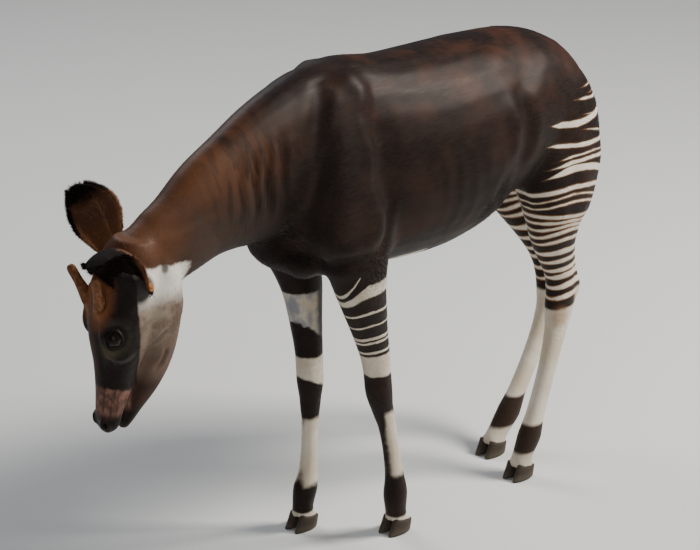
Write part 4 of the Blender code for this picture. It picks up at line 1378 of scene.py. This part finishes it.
# %% Which way the hair lies, and where it stands out
SOFT_PLACES = [
    ((-0.060, -0.190, 0.900), 0.060), ((0.400, -0.190, 0.930), 0.070), ((-0.300, 0.0, 0.930), 0.120),
    ((0.880, -0.080, 1.060), 0.110), ((0.830, -0.080, 0.820), 0.090), ((-0.660, -0.030, 0.960), 0.080),
    ((0.350, 0.0, 0.850), 0.100), ((0.200, 0.0, 0.830), 0.100), ((-0.100, 0.0, 0.840), 0.090),
]


def lie_of(spots):
    """The way the hair points from its root at each spot."""
    home = spots - MOVE
    leg = smoothstep(home[:, 2], 0.98, 0.82)[:, None]
    head = smoothstep(past_throat(spots), -0.03, 0.05)[:, None]
    neck = smoothstep(home[:, 0], -0.20, -0.40)[:, None]
    lie = np.array((0.88, 0.0, -0.42)) * (1 - neck) + np.array((0.97, 0.0, -0.16)) * neck
    lie = lie * (1 - leg) + np.array((0.16, 0.0, -1.0)) * leg
    nose_back = np.array(HEAD_TURN.to_3x3() @ Vector((1.0, 0.0, -0.22)))
    return lie * (1 - head) + nose_back * head


def softness(spots):
    """1 in the middle of a place where hair stands out, and 0 far from all of them."""
    home = spots - MOVE
    soft = np.zeros(len(spots))
    for centre, size in SOFT_PLACES:
        for sign in (1, -1):
            away = np.linalg.norm(home * (1, sign, 1) - np.array(centre), axis=1)
            soft = np.maximum(soft, np.exp(-(away / size) ** 2))
    return soft


def open_eye(spots):
    """The almond number of each spot, the smaller of the two eyes'. Under 1 lies in the opening."""
    local = in_head(spots)
    least = np.full(len(spots), 9.0)
    for sign in SIDES.values():
        centre, along, up, out = eye_axes(sign)
        arm = local - centre
        way = unit(arm)
        ring = almond(way @ along, way @ up)
        near = (np.linalg.norm(arm, axis=1) < EYE_NEAR) & (way @ out > 0.1)
        least = np.where(near, np.minimum(least, ring), least)
    return least


skin_faces = [tuple(face.vertices) for face in skin.data.polygons]
tree = BVHTree.FromPolygons([tuple(v) for v in spots_of(skin)], skin_faces)
print("hair stands out in", len(SOFT_PLACES), "places")

# %% [markdown]
# One coat piece covers one part of the body. On the trunk, blades stand only where its form breaks. On
# the head they shrink toward the nose and keep off the eyes, and they shrink down the legs too.

# %% Grow the coat
AREAS = [
    # name, slot, how many, longest, widest, spread, which materials
    ("coat_of_trunk_left", "body_coat", 9000, 0.0170, 0.0022, 0.10, 0, -1),
    ("coat_of_trunk_right", "body_coat", 9000, 0.0170, 0.0022, 0.10, 0, 1),
    ("coat_of_head", "face_coat", 18500, 0.0080, 0.0014, 0.12, 1, 0),
    ("coat_of_forelegs", "leg_coat", 16000, 0.0105, 0.0019, 0.12, 2, 0),
    ("coat_of_hind_legs", "striped_coat", 18500, 0.0125, 0.0021, 0.12, 3, 0),
]


def chooser(material, side):
    """How densely tufts grow at each spot, for one material and one side of the body."""
    def chosen(spots, normals):
        good = coat_index(spots - MOVE) == material
        if side:
            good &= spots[:, 1] * side > 0
        if material == 1:
            local = in_head(spots)
            nose = smoothstep(local[:, 0], -0.460, -0.430)
            finer = 1.0 + 1.2 * smoothstep(local[:, 0], -0.02, -0.20)
            return good * nose * finer * (open_eye(spots) > 1.22)
        if material == 0:
            edge = smoothstep(normals[:, 2], -0.75, -0.95)
            return good * (1.6 * softness(spots) ** 1.5 + 0.8 * np.clip(edge, 0, 1))
        return good * (spots[:, 2] > 0.040)
    return chosen


for name, slot, count, longest, widest, spread, material, side in AREAS:
    roots = roots_on(skin, count, chooser(material, side))
    spots, normals = roots[0], roots[1]
    soft = softness(spots)
    size = DICE.uniform(0.65, 1.0, len(spots))
    if material == 1:
        size = size * (1.15 - 0.55 * smoothstep(in_head(spots)[:, 0], -0.10, -0.42))
    if material >= 2:
        size = size * (0.75 + 0.35 * smoothstep(spots[:, 2], 0.20, 0.60))
    lengths = longest * size * (1 + 1.1 * soft)
    lies = turned(lie_of(spots), normals, spread)
    low = 0.0001 + 0.0010 * soft
    tip = 0.0001 + 0.0006 * DICE.random(len(spots)) + 0.0055 * soft * DICE.random(len(spots))
    blades(name, roots, lies, lengths, widest * size * (1 + 0.3 * soft), (low, tip), 0.12,
           coat_materials, slot, ground=tree)

# %% [markdown]
# Ears carry three kinds of hair: a short coat on the back, thin locks in the hollow, and a dense dark
# fringe that stands out past the rim. The rim is found as the widest spots of each slice of the ear.

# %% Hair of the ears
def rim_of(ear, side, steps=26):
    """Spots along both edges and over the tip, each with the way its fringe points."""
    root, along, _, across = (np.array(v) for v in ear_frame(side))
    spots = spots_of(ear)
    part = (spots - root) @ along
    top = part.max()
    found = []
    for k in range(steps):
        low = top * (0.12 + 0.88 * k / steps)
        ring = np.argsort(np.abs(part - low))[:60]
        wide = (spots[ring] - root) @ across
        for pick, sign in ((ring[wide.argmax()], 1), (ring[wide.argmin()], -1)):
            tilt = 0.35 + 1.1 * (k / steps) ** 3
            found.append((pick, across * sign + along * tilt))
    return [f[0] for f in found], np.array([f[1] for f in found])


def uv_at(obj, picks):
    """The OFBake place of some vertices."""
    place = np.zeros((len(obj.data.vertices), 2))
    ends = read(obj.data.loops, "vertex_index", 1, np.int32)
    place[ends] = read(obj.data.uv_layers["OFBake"].data, "uv", 2)
    return place[picks]


for side, ear in ears.items():
    root, along, hollow, across = (np.array(v) for v in ear_frame(side))
    materials = list(ear.data.materials)
    roots = roots_on(ear, 5200, lambda at, up: np.ones(len(at)))
    inner = roots[1] @ hollow > HOLLOW_FACING
    outward = across * np.sign((roots[0] - root) @ across)[:, None]
    lies = turned(np.where(inner[:, None], along + 0.5 * outward, along), roots[1], 0.15)
    size = DICE.uniform(0.6, 1.0, len(inner)) * np.where(inner, 1.35, 1.0)
    blades("hair_of_ear_" + side, roots, lies, 0.011 * size, 0.0013 * size,
           (0.0004 + 0.0012 * inner * size, 0.0008 + 0.0030 * inner * size), 0.2, materials, "ear_skin")
    picks, ways = rim_of(ear, side)
    many = DICE.integers(0, len(picks), 2600 // FEWER)
    other = np.clip(many + 2, 0, len(picks) - 1)
    slide = DICE.random(len(many))[:, None]
    edge = spots_of(ear)
    places = edge[np.array(picks)[many]] * (1 - slide) + edge[np.array(picks)[other]] * slide
    flow = unit(ways[many] * (1 - slide) + ways[other] * slide)
    up = np.cross(flow, unit(np.cross(flow, hollow[None].repeat(len(flow), 0))))
    rows = (places, unit(up), uv_at(ear, np.array(picks)[many]), np.zeros(len(many), int))
    height = (places - root) @ along / EAR_LENGTH
    long = (0.006 + 0.008 * smoothstep(height, 0.15, 0.6)) * DICE.uniform(0.6, 1.1, len(many))
    bend = DICE.normal(0, 0.0022, len(many))
    blades("fringe_of_ear_" + side, rows, turned(flow, rows[1], 0.30), long, np.full(len(many), 0.0016),
           (bend * 0.5, bend), 0.35, materials, "ear_skin")

# %% [markdown]
# The tail ends in a tuft of long dark locks, over a short coat. All of it hangs, so each root is first
# turned level, or the blades on sloping spots would stand out from the tail.

# %% Hair of the tail
def level(roots, kept):
    """The same roots with their normals turned nearly level."""
    return roots[0], unit(roots[1] * (1, 1, kept)), roots[2], roots[3]


roots = roots_on(tail, 3800, lambda at, up: (at[:, 2] > 0.72) * (np.abs(up[:, 2]) < 0.6))
roots = level(roots, 0.2)
size = DICE.uniform(0.6, 1.0, len(roots[0]))
down = np.array((0.05, 0.01, -1.0))[None].repeat(len(roots[0]), 0)
low_end = smoothstep(roots[0][:, 2], 1.00, 0.86)
blades("coat_of_tail", roots, turned(down, roots[1], 0.12), (0.016 + 0.020 * low_end) * size,
       0.0022 * size, (0.0006 + 0.002 * low_end, 0.0010 + 0.004 * low_end), 0.2,
       [coat_materials[0]], "body_coat")
roots = roots_on(tail, 900, lambda at, up: smoothstep(at[:, 2], 1.02, 0.90) * (np.abs(up[:, 2]) < 0.6))
roots = level(roots, 0)
room = np.maximum(roots[0][:, 2] - 0.695, 0.02)
long = np.minimum(DICE.uniform(0.07, 0.15, len(room)), room)
down = np.array((0.02, 0.02, -1.0))[None].repeat(len(room), 0)
wave = DICE.normal(0, 0.004, len(room))
blades("locks_of_tail", roots, turned(down, roots[1], 0.10), long, np.full(len(room), 0.0030),
       (0.003 + wave * 0.5, 0.004 + wave, 0.002 + wave * 1.5), 0.3, [coat_materials[0]], "body_coat",
       stops=(0.35, 0.70))

# %% [markdown]
# Lashes stand along each upper lid, in a fan that opens toward both corners and hangs a little.

# %% Lashes
LASHES = 34
lash_roots, lash_ways, lash_ups = [], [], []
turn = np.array(HEAD_TURN.to_3x3())
for sign in SIDES.values():
    centre, along, up, out = eye_axes(sign)
    for k in range(LASHES):
        angle = math.radians(22 + 136 * k / (LASHES - 1))
        ring = np.array((math.cos(angle) * OPEN_LONG * 1.02, math.sin(angle) * OPEN_HIGH * 1.14))
        depth = math.sqrt(max(1 - ring @ ring, 0.01))
        way = along * ring[0] + up * ring[1] + out * depth
        lash_roots.append(turn @ (centre + way * (EYE_RADIUS + 0.0042)) + np.array(POLL))
        lash_ways.append(turn @ (out + along * ring[0] * 0.6 - up * 0.25))
        lash_ups.append(turn @ up)
lash_roots, lash_ways, lash_ups = np.array(lash_roots), np.array(lash_ways), np.array(lash_ups)
lash_ups = unit(lash_ups - unit(lash_ways) * (lash_ups * unit(lash_ways)).sum(1)[:, None])
near_skin = [tree.find_nearest(Vector(r))[2] for r in lash_roots]
first = [skin.data.polygons[i].loop_start for i in near_skin]
place = [tuple(skin.data.uv_layers["OFBake"].data[i].uv) for i in first]
rows = (lash_roots, lash_ups, np.array(place), np.full(len(lash_roots), 1))
size = DICE.uniform(0.8, 1.1, len(lash_roots))
blades("lashes", rows, turned(lash_ways, lash_ups, 0.10), 0.011 * size, 0.0009 * size,
       (0.0004, -0.0006, -0.0030), 0.5, coat_materials, "face_coat", stops=(0.35, 0.70))

# %% [markdown]
# ## Light and camera
# A plain pale floor, a key lamp high on the right, a weak fill, a cool rim lamp behind, and a soft sky.
# Sunlight would copy the photograph's hard shadows, but softer light shows more of the form.

# %% Stage
FLOOR_PAINT = (0.62, 0.62, 0.60, 1)
SKY_BLUE = (0.86, 0.90, 1.0, 1)
SKY_STRENGTH = 0.17
bpy.ops.object.select_all(action="DESELECT")
bpy.ops.mesh.primitive_plane_add(size=40, location=(0, 0, -0.0005))
floor = bpy.context.object
floor.name = "floor"
pale_floor = bpy.data.materials.new("pale_floor")
pale_floor.use_nodes = True
paint = pale_floor.node_tree.nodes["Principled BSDF"]
paint.inputs["Base Color"].default_value = FLOOR_PAINT
paint.inputs["Roughness"].default_value = 0.9
floor.data.materials.append(pale_floor)

world = bpy.data.worlds.new("soft_sky")
bpy.context.scene.world = world
world.use_nodes = True
sky = world.node_tree.nodes["Background"]
sky.inputs["Color"].default_value = SKY_BLUE
sky.inputs["Strength"].default_value = SKY_STRENGTH


def lamp(name, spot, size, power, colour=(1, 1, 1)):
    data = bpy.data.lights.new(name, "AREA")
    data.size = size
    data.energy = power
    data.color = colour
    obj = bpy.data.objects.new(name, data)
    obj.location = spot
    obj.rotation_euler = (Vector((0, 0, 0.8)) - Vector(spot)).to_track_quat("-Z", "Y").to_euler()
    bpy.context.scene.collection.objects.link(obj)


lamp("key", (3.4, -2.6, 4.6), 1.5, 600, (1.0, 0.97, 0.92))
lamp("fill", (-4.4, -3.2, 2.6), 3.5, 48)
lamp("rim", (0.6, 4.2, 4.6), 2.5, 160, (0.92, 0.95, 1.0))
print("lamps: key, fill and rim")

# %% [markdown]
# The camera stands where the photograph's did, ahead of the animal's left side and above its back. A
# long lens from far off keeps the legs from splaying, as in the photograph.

# %% Camera
AZIMUTH = math.radians(44.905)
ELEVATION = math.radians(22.543)
AIM = Vector((0.1306, 0.1102, 0.717)) + SHIFT
back = Vector((-math.sin(AZIMUTH) * math.cos(ELEVATION), -math.cos(AZIMUTH) * math.cos(ELEVATION),
               math.sin(ELEVATION)))
DISTANCE = 8.399
camera = bpy.data.cameras.new("camera")
camera.lens = 154.3
camera.sensor_width = 36
eye_point = bpy.data.objects.new("camera", camera)
eye_point.location = AIM + back * DISTANCE
eye_point.rotation_euler = (-back).to_track_quat("-Z", "Y").to_euler()
bpy.context.scene.collection.objects.link(eye_point)
bpy.context.scene.camera = eye_point
print("camera:", DISTANCE, "m away,", round(math.degrees(ELEVATION), 1), "degrees up")
